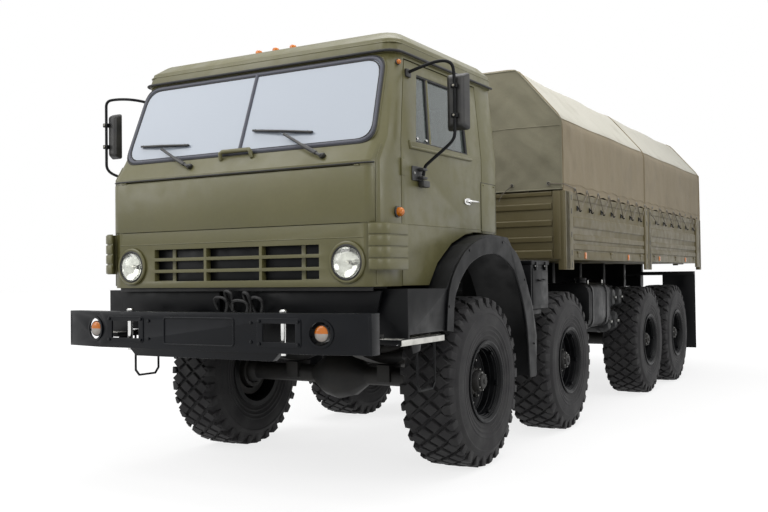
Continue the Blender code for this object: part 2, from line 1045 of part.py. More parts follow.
bumper = plate("bumper", bumper_outline(0), bumper_bottom, bumper_top, FROM_ABOVE, CHASSIS_BLACK)
openings = [
    plate(
        "core", bumper_core_outline(), bumper_bottom + bumper_wall, bumper_top - bumper_wall, FROM_ABOVE
    )
]
for word, side in SIDES:
    x = side * tow_window_x
    openings.append(
        box(
            f"tow_window_{word}",
            (x - tow_window_half, bumper_front - overrun, tow_window_low),
            (x + tow_window_half, bumper_front + bumper_depth / 2, tow_window_high),
        )
    )
    x = side * lamp_hole_x
    z = (tow_window_low + tow_window_high) / 2
    openings.append(
        rod(
            f"lamp_hole_{word}",
            (x, bumper_front - overrun, z),
            (x, bumper_front + bumper_depth, z),
            lamp_hole_radius,
            lamp_sides,
        )
    )
bumper = cut(bumper, *openings)
bumper_pins = []
for word, side in SIDES:
    x = side * tow_window_x
    pin_y = bumper_front + bumper_depth / 2
    bumper_pins.append(
        rod(
            f"tow_pin_{word}",
            (x, pin_y, bumper_bottom + bumper_wall / 2),
            (x, pin_y, bumper_top - bumper_wall / 2),
            tow_pin_radius,
            shaft_sides,
        )
    )
bumper_pins.append(
    plate(
        "guard",
        [
            (-guard_half, bumper_bottom + bumper_wall / 2),
            (-guard_half + guard_taper, bumper_bottom - guard_drop),
            (guard_half - guard_taper, bumper_bottom - guard_drop),
            (guard_half, bumper_bottom + bumper_wall / 2),
        ],
        bumper_front + 2 * bumper_wall,
        bumper_front + 2 * bumper_wall + guard_depth,
        ACROSS_TRUCK,
    )
)
for word, side in SIDES:
    x = side * lamp_hole_x
    z = (tow_window_low + tow_window_high) / 2
    y = bumper_front + bumper_sweep * (lamp_hole_x - bumper_bend) / (bumper_half - bumper_bend)
    bumper_pins.append(
        rod(
            f"bumper_lamp_{word}",
            (x, y + bumper_wall, z),
            (x, y + bumper_wall + lamp_depth, z),
            lamp_radius * lamp_back_share,
            lamp_sides,
            None,
            lamp_radius,
        )
    )
    bumper_pins.append(
        box(
            "lamp_arm",
            (x - lamp_arm / 2, y + bumper_wall + lamp_depth / 2, z),
            (x + lamp_arm / 2, y + bumper_wall + lamp_depth, bumper_top - bumper_wall / 2),
        )
    )
bumper = join(bumper, *bumper_pins)

cab_half_eave = cab_half_bottom - cab_tumble
headlamp_x = cab_half_bottom - headlamp_inset

# Cab outline, level by level: height, distance of the face ahead of the cab's datum, half width
cab_levels = (
    (cab_bottom, cab_face_ahead, cab_half_bottom),
    (cab_waist, cab_face_ahead, cab_half_bottom),
    (cab_cowl, cowl_ahead, cab_half_bottom),
    (cab_eave, eave_ahead, cab_half_eave),
)
cab_rear = cab_datum + cab_rear_behind
cab_face = cab_datum - cab_face_ahead


def cab_form(name, inset, low, high):
    """The cab's outer form shrunk by a wall, between two heights, sections interpolated on the levels."""
    def at(z):
        levels = list(cab_levels)
        for (z0, a0, w0), (z1, a1, w1) in zip(levels, levels[1:]):
            if z <= z1 or (z1, a1, w1) == levels[-1]:
                share = (z - z0) / (z1 - z0)
                return a0 + (a1 - a0) * share, w0 + (w1 - w0) * share

    heights = [low] + [z for z, _, _ in cab_levels if low < z < high] + [high]
    sections = []
    for z in heights:
        ahead, half = at(z)
        sections.append(
            rounded_plan(
                half - inset,
                cab_datum - ahead + inset,
                cab_rear - inset,
                cab_corner - inset / 2,
                cab_rear_corner - inset / 2,
                z,
            )
        )
    return loft(name, sections)


def placed(shares):
    """Points beside the front wheel from shares of the arch's reach and crest."""
    return [(cab_datum + along * arch_reach, up * arch_crest) for along, up in shares]


def arch_points(gap):
    """The cab's lower edge over the front wheel, front to rear, raised by the gap."""
    return [(y, z + gap) for y, z in placed(cab_edge_shares)]


door_front = cab_datum - door_front_ahead
door_rear = cab_datum + door_rear_behind


def door_outline(gap, reach=0.0):
    """The door seen from the side. The gap shrinks it, and reach lets a cutter run past the arch below."""
    lean_from = cab_cowl
    arch = arch_points(gap + shut_gap)
    if reach:
        arch = [
            (cab_datum - footwell_rear_ahead, cab_bottom - reach),
            (door_rear - gap, cab_bottom - reach),
        ]
        bottom = cab_bottom - reach
    else:
        arch = arch + [(door_rear - gap, arch_crest + gap + shut_gap)]
        bottom = door_low
    return [
        (door_front + gap, bottom),
        *arch,
        (door_rear - gap, door_high - gap),
        (door_front + door_lean + gap, door_high - gap),
        (door_front + gap, lean_from),
    ]


def side_prism(name, points, side, inner):
    outer = cab_half_bottom + overrun
    low, high = (inner, outer) if side > 0 else (-outer, -inner)
    return plate(name, points, low, high, ALONG_TRUCK)


def window_outline(grow=0.0):
    front, rear = cab_datum - window_front_ahead, cab_datum + window_rear_behind
    return [
        (front - grow, window_low - grow),
        (rear + grow, window_low - grow),
        (rear + grow, window_high + grow),
        (front + window_lean - grow, window_high + grow),
    ]


# Cab shell
shell = cab_form("cab_shell", 0, cab_bottom, cab_eave)
shell.data.materials.append(OLIVE)
hollow = cab_form("hollow", cab_wall, cab_bottom - overrun, cab_eave + overrun)
cuts = [hollow]
door_inner = cab_half_eave - 3 * cab_wall
for word, side in SIDES:
    cuts.append(side_prism(f"door_cut_{word}", door_outline(-shut_gap / 2, overrun), side, door_inner))
    behind = [
        (door_rear - overrun, cab_bottom - overrun),
        (cab_rear + overrun, cab_bottom - overrun),
        (cab_rear + overrun, arch_crest + shut_gap),
        (door_rear - overrun, arch_crest + shut_gap),
    ]
    cuts.append(side_prism(f"behind_{word}", behind, side, fender_inner - shut_gap))
cuts.append(
    plate(
        "screen_cut",
        [
            (-screen_half_low, screen_low),
            (screen_half_low, screen_low),
            (screen_half_high, screen_high),
            (-screen_half_high, screen_high),
        ],
        cab_face - overrun,
        cab_face + cab_face_ahead / 2,
        ACROSS_TRUCK,
    )
)
column_width = (2 * grille_half - (grille_columns - 1) * grille_bar) / grille_columns
row_height = (grille_high - grille_low - (grille_rows - 1) * grille_bar) / grille_rows
for i in range(grille_columns):
    for j in range(grille_rows):
        x = -grille_half + i * (column_width + grille_bar)
        z = grille_low + j * (row_height + grille_bar)
        cuts.append(
            box(
                f"slot_{i}_{j}",
                (x, cab_face - overrun, z),
                (x + column_width, cab_face + cab_wall + overrun, z + row_height),
            )
        )
cuts.append(
    box(
        "flap_recess",
        (-flap_half - shut_gap, cab_face - overrun, flap_low - shut_gap),
        (flap_half + shut_gap, cab_face + flap_thick + shut_gap, flap_high + shut_gap),
    )
)
for word, side in SIDES:
    cuts.append(
        rod(
            f"lamp_bore_{word}",
            (side * headlamp_x, cab_face - overrun, headlamp_z),
            (side * headlamp_x, cab_face + cab_wall + overrun, headlamp_z),
            headlamp_radius,
            lamp_sides,
        )
    )
cuts.append(
    box(
        "rear_window",
        (-rear_window_half, cab_rear - cab_wall - overrun, rear_window_low),
        (rear_window_half, cab_rear + overrun, rear_window_high),
    )
)
shell = cut(shell, *cuts)

# Floor: two footwells in front, one raised floor behind and over the engine
floor_front = cab_face + cab_wall - lap
floor_rear = cab_rear - cab_wall / 2
well_rear = cab_datum - footwell_rear_ahead
step_profile = [
    (floor_front, footwell_floor - floor_wall),
    (well_rear, footwell_floor - floor_wall),
    (well_rear, cab_floor - floor_wall),
    (floor_rear, cab_floor - floor_wall),
    (floor_rear, cab_floor),
    (well_rear - floor_wall, cab_floor),
    (well_rear - floor_wall, footwell_floor),
    (floor_front, footwell_floor),
]
floor_parts = []
floor_edge = door_inner
for word, side in SIDES:
    low, high = sorted((side * (tunnel_half - floor_wall), side * floor_edge))
    floor_parts.append(plate(f"floor_{word}", step_profile, low, high, ALONG_TRUCK))
    low, high = sorted((side * tunnel_half, side * (tunnel_half - floor_wall)))
    floor_parts.append(
        box(
            f"tunnel_wall_{word}",
            (low, floor_front, footwell_floor - floor_wall),
            (high, well_rear, cab_floor),
        )
    )
for word, side in SIDES:
    low, high = sorted((side * (tunnel_half - floor_wall + lap), side * (tunnel_half - lap)))
    lug = [
        (tilt_y - lug_half, tilt_z),
        (tilt_y - lug_half / 2, tilt_z - lug_half),
        (tilt_y + lug_half / 2, tilt_z - lug_half),
        (tilt_y + lug_lean + lug_half, footwell_floor - floor_wall / 2),
        (tilt_y + lug_lean - lug_half, footwell_floor - floor_wall / 2),
    ]
    floor_parts.append(plate(f"lug_{word}", lug, low, high, ALONG_TRUCK))
floor_parts.append(
    box(
        "tunnel_top",
        (-tunnel_half, floor_front, cab_floor - floor_wall),
        (tunnel_half, floor_rear, cab_floor),
    )
)
shell = join(shell, *floor_parts)

# Doors with their windows
for word, side in SIDES:
    door = cab_form(f"door_{word}", 0, cab_bottom, cab_eave)
    door.data.materials.append(OLIVE)
    door = cut(door, cab_form("door_hollow", cab_wall, cab_bottom - overrun, cab_eave + overrun))
    door_prism = side_prism("door_prism", door_outline(shut_gap / 2), side, door_inner + lap)
    door = combine(door, [door_prism], "INTERSECT")
    door = cut(door, side_prism("window", window_outline(), side, door_inner))
    hinge_x = side * (cab_half_bottom + shut_gap / 2)
    hinges = []
    for z in (door_hinge_low, door_hinge_high):
        hinges.append(
            rod(
                "barrel",
                (hinge_x, door_front, z - door_hinge_half),
                (hinge_x, door_front, z + door_hinge_half),
                math.hypot(shut_gap, shut_gap) / 2 - seat_gap,
                shaft_sides,
            )
        )
        low, high = sorted((hinge_x, hinge_x - side * (shut_gap / 2 + lap)))
        hinges.append(
            box(
                "leaf",
                (low, door_front, z - door_hinge_half + lap),
                (high, door_front + door_leaf, z + door_hinge_half - lap),
            )
        )
    door = join(door, *hinges)
    pane = cab_form(f"door_glass_{word}", cab_wall / 2, cab_bottom, cab_eave)
    pane.data.materials.append(GLASS)
    pane = cut(pane, cab_form("pane_hollow", cab_wall / 2 + glass, cab_bottom - overrun, cab_eave + overrun))
    pane_prism = side_prism("pane_prism", window_outline(-seat_gap), side, door_inner)
    pane = combine(pane, [pane_prism], "INTERSECT")
    hinge = (hinge_x, door_front, door_low)
    set_origin(door, hinge)
    set_origin(pane, hinge)

# Windscreen: rubber gasket with its middle bar, and two panes
def screen_slab(name, inset_out, inset_in):
    """The part of the cab's front wall between two depths under its outer face."""
    slab = cab_form(name, inset_out, cab_bottom, cab_eave)
    return cut(slab, cab_form("slab_hollow", inset_in, cab_bottom - overrun, cab_eave + overrun))


def screen_prism(name, inset, low_edge=-1, high_edge=1):
    """The windscreen's opening as a prism, between two shares of its half width."""
    half_low, half_high = screen_half_low - inset, screen_half_high - inset
    points = [
        (low_edge * half_low, screen_low + inset),
        (high_edge * half_low, screen_low + inset),
        (high_edge * half_high, screen_high - inset),
        (low_edge * half_high, screen_high - inset),
    ]
    return plate(name, points, cab_face - overrun, cab_face + cab_face_ahead / 2, ACROSS_TRUCK)


divider_share = divider_half / screen_half_low
gasket_ring = screen_slab("windscreen_gasket", 0, cab_wall / 2 - seat_gap)
gasket_ring = combine(gasket_ring, [screen_prism("ring", seat_gap)], "INTERSECT")
gasket_ring.data.materials.append(TRIM)
gasket_ring = cut(
    gasket_ring,
    screen_prism("left_hole", gasket, divider_share, 1),
    screen_prism("right_hole", gasket, -1, -divider_share),
)
pane = screen_slab("windscreen", cab_wall / 2, cab_wall / 2 + glass)
pane.data.materials.append(GLASS)
combine(pane, [screen_prism("pane", seat_gap)], "INTERSECT")
box(
    "rear_glass",
    (-rear_window_half + seat_gap, cab_rear - cab_wall / 2 - glass, rear_window_low + seat_gap),
    (rear_window_half - seat_gap, cab_rear - cab_wall / 2, rear_window_high - seat_gap),
    GLASS,
)

# Roof
roof_low = cab_eave + seat_gap
roof_levels = (
    (roof_low, eave_ahead + roof_skirt, cab_half_eave + roof_skirt, cab_rear_behind + roof_skirt),
    (roof_low + roof_rise * roof_shoulder_share, eave_ahead - roof_brow, cab_half_eave, cab_rear_behind),
    (
        roof_low + roof_rise * roof_bend_share,
        eave_ahead - roof_bend_back,
        cab_half_eave - roof_bend_in,
        cab_rear_behind - roof_bend_ahead,
    ),
    (
        roof_low + roof_rise,
        eave_ahead - roof_crown_back,
        cab_half_eave - roof_crown_in,
        cab_rear_behind - roof_crown_ahead,
    ),
)


def roof_form(name, inset):
    sections = []
    for z, ahead, half, behind in roof_levels:
        height = z - (0 if z == roof_low else inset)
        if z == roof_low and inset:
            height = roof_low - overrun
        sections.append(
            rounded_plan(
                half - inset,
                cab_datum - ahead + inset,
                cab_datum + behind - inset,
                cab_corner,
                cab_rear_corner,
                height,
            )
        )
    return loft(name, sections)


roof = roof_form("roof", 0)
roof.data.materials.append(OLIVE)
roof = cut(roof, roof_form("roof_hollow", roof_wall))

# Front flap, hinged at its upper edge
flap = box(
    "front_flap",
    (-flap_half, cab_face, flap_low),
    (flap_half, cab_face + flap_thick, flap_high),
    OLIVE,
)
flap_pins = [
    rod(
        f"flap_pin_{word}",
        (side * (flap_half - overrun), cab_face, flap_high),
        (side * (flap_half + shut_gap - seat_gap), cab_face, flap_high),
        flap_pin_radius,
        shaft_sides,
    )
    for word, side in SIDES
]
flap = join(flap, *flap_pins)
set_origin(flap, (0, cab_face, flap_high))

# Headlamps
for word, side in SIDES:
    x = side * headlamp_x
    lamp = rod(
        f"headlamp_{word}",
        (x, cab_face - headlamp_dome * headlamp_edge_share, headlamp_z),
        (x, cab_face + headlamp_depth, headlamp_z),
        headlamp_radius - seat_gap,
        lamp_sides,
        LAMP_GLASS,
        headlamp_radius - seat_gap,
    )
    dome = rod(
        "dome",
        (x, cab_face - headlamp_dome, headlamp_z),
        (x, cab_face, headlamp_z),
        headlamp_glass_radius * headlamp_dome_share,
        lamp_sides,
        None,
        headlamp_glass_radius,
    )
    join(lamp, dome)

# Seats, dashboard and steering wheel
seat_front = cab_datum - seat_front_ahead
seat_pieces = []
for word, low, high in (
    ("driver", seat_x - seat_width / 2, seat_x + seat_width / 2),
    ("passengers", -seat_x - seat_width / 2, seat_bench_inner),
):
    rear = seat_front + seat_depth
    seat_pieces += [
        box(f"seat_{word}", (low, seat_front, seat_top - seat_thick), (high, rear, seat_top)),
        box(
            f"back_{word}",
            (low, rear - seat_back_thick, seat_top - seat_thick + lap),
            (high, rear, seat_top + seat_back_height),
        ),
        box(
            f"base_{word}",
            (low + seat_base_inset, seat_front + seat_base_inset, cab_floor + seat_gap),
            (high - seat_base_inset, rear - seat_base_inset, seat_top - seat_thick + lap),
        ),
    ]
seat_link = box(
    "seats",
    (-seat_x, seat_front + seat_depth / 2, cab_floor + seat_gap),
    (seat_x, seat_front + seat_depth / 2 + seat_base_inset, cab_floor + seat_base_inset),
    SEAT_CLOTH,
)
join(seat_link, *seat_pieces)

dash_front = cab_datum - cowl_ahead + dash_behind_screen
dash = plate(
    "dashboard",
    [
        (dash_front, dash_low),
        (dash_front + dash_depth, dash_low + dash_lip),
        (dash_front + dash_depth, dash_high - dash_chamfer),
        (dash_front + dash_depth * dash_top_share, dash_high),
        (dash_front, dash_high),
    ],
    -cab_half_bottom + 2 * cab_wall,
    cab_half_bottom - 2 * cab_wall,
    ALONG_TRUCK,
    TRIM,
)

wheel_centre = Vector((seat_x, cab_datum - wheel_ahead, wheel_z))
tilt = Matrix.Rotation(math.radians(wheel_tilt_degrees), 3, "X")


def rim_point(angle):
    return Vector((wheel_rim_radius * math.cos(angle), wheel_rim_radius * math.sin(angle), 0))


ring_points = [
    wheel_centre + tilt @ rim_point(math.tau * i / wheel_ring_steps) for i in range(wheel_ring_steps)
]
ring = wire("ring", ring_points, wheel_rim_wire, rounds=1, closed=True)
spokes = [
    rod(
        f"spoke_{i}",
        wheel_centre,
        wheel_centre + tilt @ rim_point(angle),
        wheel_rim_wire,
        shaft_sides,
    )
    for i, angle in enumerate((0, math.pi, -math.pi / 2))
]
column = rod(
    "column",
    wheel_centre + tilt @ Vector((0, 0, column_radius)),
    wheel_centre - tilt @ Vector((0, 0, column_length)),
    column_radius,
    shaft_sides,
)
brackets = []
for word, side in SIDES:
    dash_end = cab_half_bottom - 2 * cab_wall - overrun
    low, high = sorted((side * dash_end, side * (cab_half_bottom - cab_wall - seat_gap)))
    brackets.append(
        box(
            f"dash_bracket_{word}",
            (low, door_front - 2 * dash_bracket, dash_low + dash_bracket),
            (high, door_front - dash_bracket, dash_low + 2 * dash_bracket),
        )
    )
join(dash, column, ring, *spokes, *brackets)

# Mirrors
for word, side in SIDES:
    x = side * mirror_x
    y = cab_datum - mirror_ahead
    glass_box = box(
        f"mirror_{word}",
        (x - mirror_half_width, y - mirror_thick / 2, mirror_low),
        (x + mirror_half_width, y + mirror_thick / 2, mirror_high),
        TRIM,
    )
    low_foot = cab_half_bottom + seat_gap
    lean = (mirror_foot_high - mirror_foot_half - cab_cowl) / (cab_eave - cab_cowl)
    high_foot = cab_half_bottom + (cab_half_eave - cab_half_bottom) * lean + seat_gap
    arm_x = side * (mirror_x - mirror_bend)
    front_y = y - mirror_thick / 2 - mirror_arm_radius / 2
    arm = wire(
        "mirror_arm",
        [
            (side * (low_foot + mirror_foot_wall / 2), cab_datum - mirror_foot_ahead, mirror_foot_low),
            (arm_x, front_y - mirror_bend, mirror_low - mirror_foot_half),
            (x, front_y, mirror_low + mirror_foot_half),
            (x, front_y, mirror_high - mirror_foot_half),
            (arm_x, front_y - 2 * mirror_bend, mirror_high + mirror_bend),
            (side * (high_foot + mirror_foot_wall / 2), cab_datum - mirror_root_ahead, mirror_foot_high),
        ],
        mirror_arm_radius,
        rounds=1,
    )
    feet = []
    for foot, ahead, z in (
        (low_foot, mirror_foot_ahead, mirror_foot_low),
        (high_foot, mirror_root_ahead, mirror_foot_high),
    ):
        low, high = sorted((side * foot, side * (foot + mirror_foot_wall)))
        feet.append(
            box(
                "mirror_foot",
                (low, cab_datum - ahead - mirror_foot_half, z - mirror_foot_half),
                (high, cab_datum - ahead + mirror_foot_half, z + mirror_foot_half),
            )
        )
    join(glass_box, arm, *feet)

# Fenders: apron under the grille, fairing, arch over the wheel with its lip, rear half, step and stirrup

def arch_line():
    """The arch's crest from the fairing to the tail of the fender, just under the cab's edge."""
    front = [(y, z - shut_gap) for y, z in arch_points(0)]
    return front + placed(fender_tail_shares)


def offset_line(points, distance):
    """The open line moved sideways, to the right of its direction, with mitred corners."""
    moved = []
    for i, point in enumerate(points):
        normals = []
        for a, b in zip(points[max(i - 1, 0):i + 1], points[max(i - 1, 0) + 1:i + 2]):
            along = (Vector(b) - Vector(a)).normalized()
            normals.append(Vector((along.y, -along.x)))
        middle = sum(normals, Vector((0, 0))).normalized()
        moved.append(tuple(Vector(point) + middle * distance / middle.dot(normals[0])))
    return moved


apron_front = cab_face + apron_setback
for word, side in SIDES:
    low, high = sorted((side * (fender_outer - fender_wall), side * fender_outer))
    outline = (
        [(cab_datum - fairing_front_ahead, fairing_low)]
        + placed(fender_lip_shares)
        + list(reversed(arch_line()))
        + [(cab_datum - fairing_front_ahead, cab_bottom - 2 * shut_gap)]
    )
    fender = plate(f"fender_{word}", outline, low, high, ALONG_TRUCK, CHASSIS_BLACK)
    low, high = sorted((side * fender_inner, side * (fender_outer - fender_wall / 2)))
    crest = arch_line()
    under = offset_line(crest, fender_wall)
    tread = plate(f"arch_{word}", crest + list(reversed(under)), low, high, ALONG_TRUCK)
    top = plate(
        f"fairing_top_{word}",
        [
            (cab_datum - fairing_front_ahead, cab_bottom - 2 * shut_gap - fender_wall),
            (crest[0][0] + overrun, crest[0][1] - fender_wall),
            (crest[0][0] + overrun, crest[0][1]),
            (cab_datum - fairing_front_ahead, cab_bottom - 2 * shut_gap),
        ],
        low,
        high,
        ALONG_TRUCK,
    )
    front = box(
        f"fairing_front_{word}",
        (low, cab_datum - fairing_front_ahead, fairing_low),
        (high, cab_datum - fairing_front_ahead + fender_wall, cab_bottom - 2 * shut_gap),
    )
    apron = plate(
        f"apron_{word}",
        [
            (side * apron_inner, apron_low),
            (side * apron_outer, apron_low),
            (side * (apron_outer + apron_flare), cab_bottom - apron_gap),
            (side * apron_inner, cab_bottom - apron_gap),
        ],
        apron_front,
        apron_front + fender_wall,
        ACROSS_TRUCK,
    )
    low, high = sorted((side * (fender_inner + fender_wall), side * (apron_outer - lap)))
    return_wall = box(
        f"apron_return_{word}",
        (low, apron_front + lap, apron_low + lap),
        (high, cab_datum - fairing_front_ahead + fender_wall - lap, apron_low + fender_wall),
    )
    low, high = sorted((side * (rail_outer + seat_gap), side * (fender_inner + fender_wall)))
    stay = box(
        f"stay_{word}",
        (low, cab_datum - fairing_front_ahead, stay_low),
        (high, cab_datum - fairing_front_ahead + stay_size, stay_low + stay_size),
    )
    low, high = sorted((side * step_inner, side * fender_outer))
    step = box(
        f"step_{word}",
        (low, cab_datum - step_front_ahead, step_low),
        (high, cab_datum - step_rear_ahead, step_low + step_plate),
    )
    step_web = box(
        f"step_web_{word}",
        (low, cab_datum - fairing_front_ahead, step_low + step_plate / 2),
        (high, cab_datum - fairing_front_ahead + fender_wall, fairing_low + fender_wall),
    )
    x = side * stirrup_x
    y = cab_datum - stirrup_ahead
    stirrup = wire(
        f"stirrup_{word}",
        [
            (x, y - stirrup_half, step_low + step_plate / 2),
            (x, y - stirrup_half, stirrup_low + stirrup_half / 3),
            (x, y - stirrup_half * stirrup_bend_share, stirrup_low),
            (x, y + stirrup_half * stirrup_bend_share, stirrup_low),
            (x, y + stirrup_half, stirrup_low + stirrup_half / 3),
            (x, y + stirrup_half, step_low + step_plate / 2),
        ],
        stirrup_radius,
        rounds=1,
    )
    join(fender, tread, top, front, apron, return_wall, stay, step, step_web, stirrup)

# Equipment along the frame: tool box, fuel tanks and air bottles
place = cab_datum + box_front_behind
join(
    box(
        "tool_box",
        (box_inner, place, box_low),
        (box_outer, cab_datum + box_rear_behind, box_high),
        CHASSIS_BLACK,
    ),
    box(
        "tool_box_arm",
        (rail_outer + seat_gap, place + stay_size, box_low + stay_size),
        (box_inner + overrun, place + 2 * stay_size, box_low + 3 * stay_size),
    ),
)


def tank_outline(side):
    half_width, half_height = (tank_outer - tank_inner) / 2, (tank_high - tank_low) / 2
    outline = rounded_plan(half_width, -half_height, half_height, tank_corner, tank_corner, 0)
    x, z = side * (tank_outer + tank_inner) / 2, (tank_high + tank_low) / 2
    return [(x + px, z + py) for px, py, _ in outline]


for word, side, length in (("left", 1, tank_length), ("right", -1, tank_right_length)):
    front = axle_2 + tank_front_behind
    tank = plate(f"fuel_tank_{word}", tank_outline(side), front, front + length, ACROSS_TRUCK, CHASSIS_BLACK)
    arms = []
    for i in (1, 3):
        low, high = sorted((side * (rail_outer + seat_gap), side * (tank_inner + overrun)))
        y = front + length * i / 4
        arms.append(
            box(
                f"tank_arm_{i}",
                (low, y - stay_size / 2, rail_bottom + stay_size),
                (high, y + stay_size / 2, rail_top - stay_size),
            )
        )
    join(tank, *arms)

bottles = []
for i, (row, column) in enumerate(((0, 0), (0, 1), (1, 0), (1, 1))):
    y = axle_3 - air_ahead - column * (2 * air_radius + air_gap) - row * air_row_shift
    z = air_high - row * (2 * air_radius + air_gap)
    bottles.append(
        turned(
            f"bottle_{i}",
            [
                (-air_half, 0),
                (-air_half + air_dome * air_end_share, air_radius * air_waist_share),
                (-air_half + air_dome, air_radius),
                (air_half - air_dome, air_radius),
                (air_half - air_dome * air_end_share, air_radius * air_waist_share),
                (air_half, 0),
            ],
            (air_x, y, z),
            air_sides,
        )
    )
air_front = axle_3 - air_ahead - 2 * air_radius - air_gap - air_row_shift
air = box(
    "air_bottles",
    (rail_outer + seat_gap, air_front, air_high - 2 * air_radius - air_gap),
    (air_x - air_half + air_dome, axle_3 - air_ahead, air_high),
    CHASSIS_BLACK,
)
join(air, *bottles)

# Tail bar with the rear mud flaps
tail_y = cab_datum + flap_rear_behind
tail_bar = box(
    "tail_bar",
    (-mudflap_outer, tail_y, tail_bar_low),
    (mudflap_outer, tail_y + stay_size, tail_bar_low + stay_size),
    CHASSIS_BLACK,
)
parts = []
for word, side in SIDES:
    low, high = sorted((side * mudflap_inner, side * mudflap_outer))
    parts.append(
        box(
            f"mud_flap_{word}",
            (low, tail_y + stay_size - lap, mudflap_low),
            (high, tail_y + stay_size + mudflap_wall, tail_bar_low + stay_size),
        )
    )
    low, high = sorted((side * (rail_outer + seat_gap), side * (rail_outer + stay_size)))
    parts.append(
        box(
            f"tail_hanger_{word}",
            (low, tail_y + lap, rail_bottom + 2 * stay_size),
            (high, tail_y + stay_size - lap, tail_bar_low + stay_size / 2),
        )
    )
join(tail_bar, *parts)

# Bed: floor with sills, front board, side boards, posts and tailgate
bed = box(
    "bed_floor",
    (-body_half_width + board_wall, bed_front, bed_floor_low),
    (body_half_width - board_wall, bed_rear, bed_floor_high),
    OLIVE,
)
box(
    "front_board",
    (-body_half_width + post_wall, bed_front - board_wall - seat_gap, bed_floor_low),
    (body_half_width - post_wall, bed_front - seat_gap, board_top),
    OLIVE,
)
for word, side in SIDES:
    outer, inner = side * body_half_width, side * (body_half_width - board_wall + seat_gap)
    low, high = min(outer, inner), max(outer, inner)
    board = box(
        f"side_board_{word}",
        (low, bed_front - board_wall, bed_floor_low),
        (high, bed_rear, board_top),
        OLIVE,
    )
    posts = []
    for i, place in enumerate((bed_front, bed_middle, bed_rear - post_width)):
        posts.append(
            box(
                f"post_{i}",
                (min(outer, outer + side * rib_depth, inner), place, post_low),
                (max(outer, outer + side * rib_depth, inner), place + post_width, board_top),
            )
        )
    join(board, *posts)
gate_hinge = (0, tail - gate_pin_radius, bed_floor_low)
tailgate = box(
    "tailgate",
    (-body_half_width + board_wall + shut_gap, bed_rear + shut_gap, bed_floor_low),
    (body_half_width - board_wall - shut_gap, tail, board_top - shut_gap),
    OLIVE,
)
barrels = []
lugs = []
for i in range(gate_hinge_count):
    x = gate_hinge_reach * (2 * i / (gate_hinge_count - 1) - 1)
    barrels.append(
        rod(
            "gate_barrel",
            (x, gate_hinge[1], bed_floor_low),
            (x + gate_hinge_length, gate_hinge[1], bed_floor_low),
            gate_pin_radius,
            axle_sides,
        )
    )
    lugs.append(
        plate(
            "gate_lug",
            [
                (bed_rear - shut_gap, bed_floor_low - 2 * gate_pin_radius),
                (gate_hinge[1] - shut_gap, bed_floor_low - 2 * gate_pin_radius),
                (gate_hinge[1] - shut_gap, bed_floor_low - seat_gap),
                (bed_rear - lap, bed_floor_low - seat_gap),
                (bed_rear - lap, bed_floor_low + lap),
                (bed_rear - shut_gap, bed_floor_low + lap),
            ],
            x - gate_hinge_length,
            x - seat_gap,
            ALONG_TRUCK,
        )
    )
bed = join(bed, *lugs)
tailgate = join(tailgate, *barrels)
set_origin(tailgate, gate_hinge)

# Canvas cover over the bed


def cover_outline(inset, low):
    return [
        (-body_half_width + inset, low),
        (body_half_width - inset, low),
        (body_half_width - inset, cover_eave),
        (cover_flat_half - inset * cover_slope_share, cover_top - inset),
        (-cover_flat_half + inset * cover_slope_share, cover_top - inset),
        (-body_half_width + inset, cover_eave),
    ]


cover = plate(
    "canvas_cover",
    cover_outline(0, board_top + seat_gap),
    bed_front - board_wall,
    bed_rear + board_wall,
    ACROSS_TRUCK,
    CANVAS,
)
cover = cut(
    cover,
    plate(
        "cover_hollow",
        cover_outline(cover_wall, board_top - overrun),
        bed_front - board_wall + cover_wall,
        bed_rear + board_wall - cover_wall,
        ACROSS_TRUCK,
    ),
)
# Bows under the canvas, joined by a ridge bar and two eave bars
bow_reach = cover_wall + seat_gap
bows = []
for i in range(bow_count):
    first = bed_front + post_width
    last = bed_rear - post_width - bow_wire
    y = first + (last - first) * i / (bow_count - 1)
    outer = plate(f"bow_{i}", cover_outline(bow_reach, board_top + seat_gap), y, y + bow_wire, ACROSS_TRUCK)
    inner = plate(
        "bow_inside",
        cover_outline(bow_reach + bow_wire, board_top - overrun),
        y - overrun,
        y + bow_wire + overrun,
        ACROSS_TRUCK,
    )
    bows.append(cut(outer, inner))
ridge = box(
    "cover_bows",
    (-bow_wire / 2, bed_front + post_width, cover_top - bow_reach - bow_wire),
    (bow_wire / 2, bed_rear - post_width, cover_top - bow_reach - lap),
    CHASSIS_BLACK,
)
join(ridge, *bows)

# From the datum plane to the ground
for thing in TRUCK.objects:
    thing.location.z += datum_height
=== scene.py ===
"""Looks of the military cargo truck: paint, rubber, glass, canvas and the small parts on its frame."""
import json
import math

import bpy
from mathutils import Matrix, Vector, noise

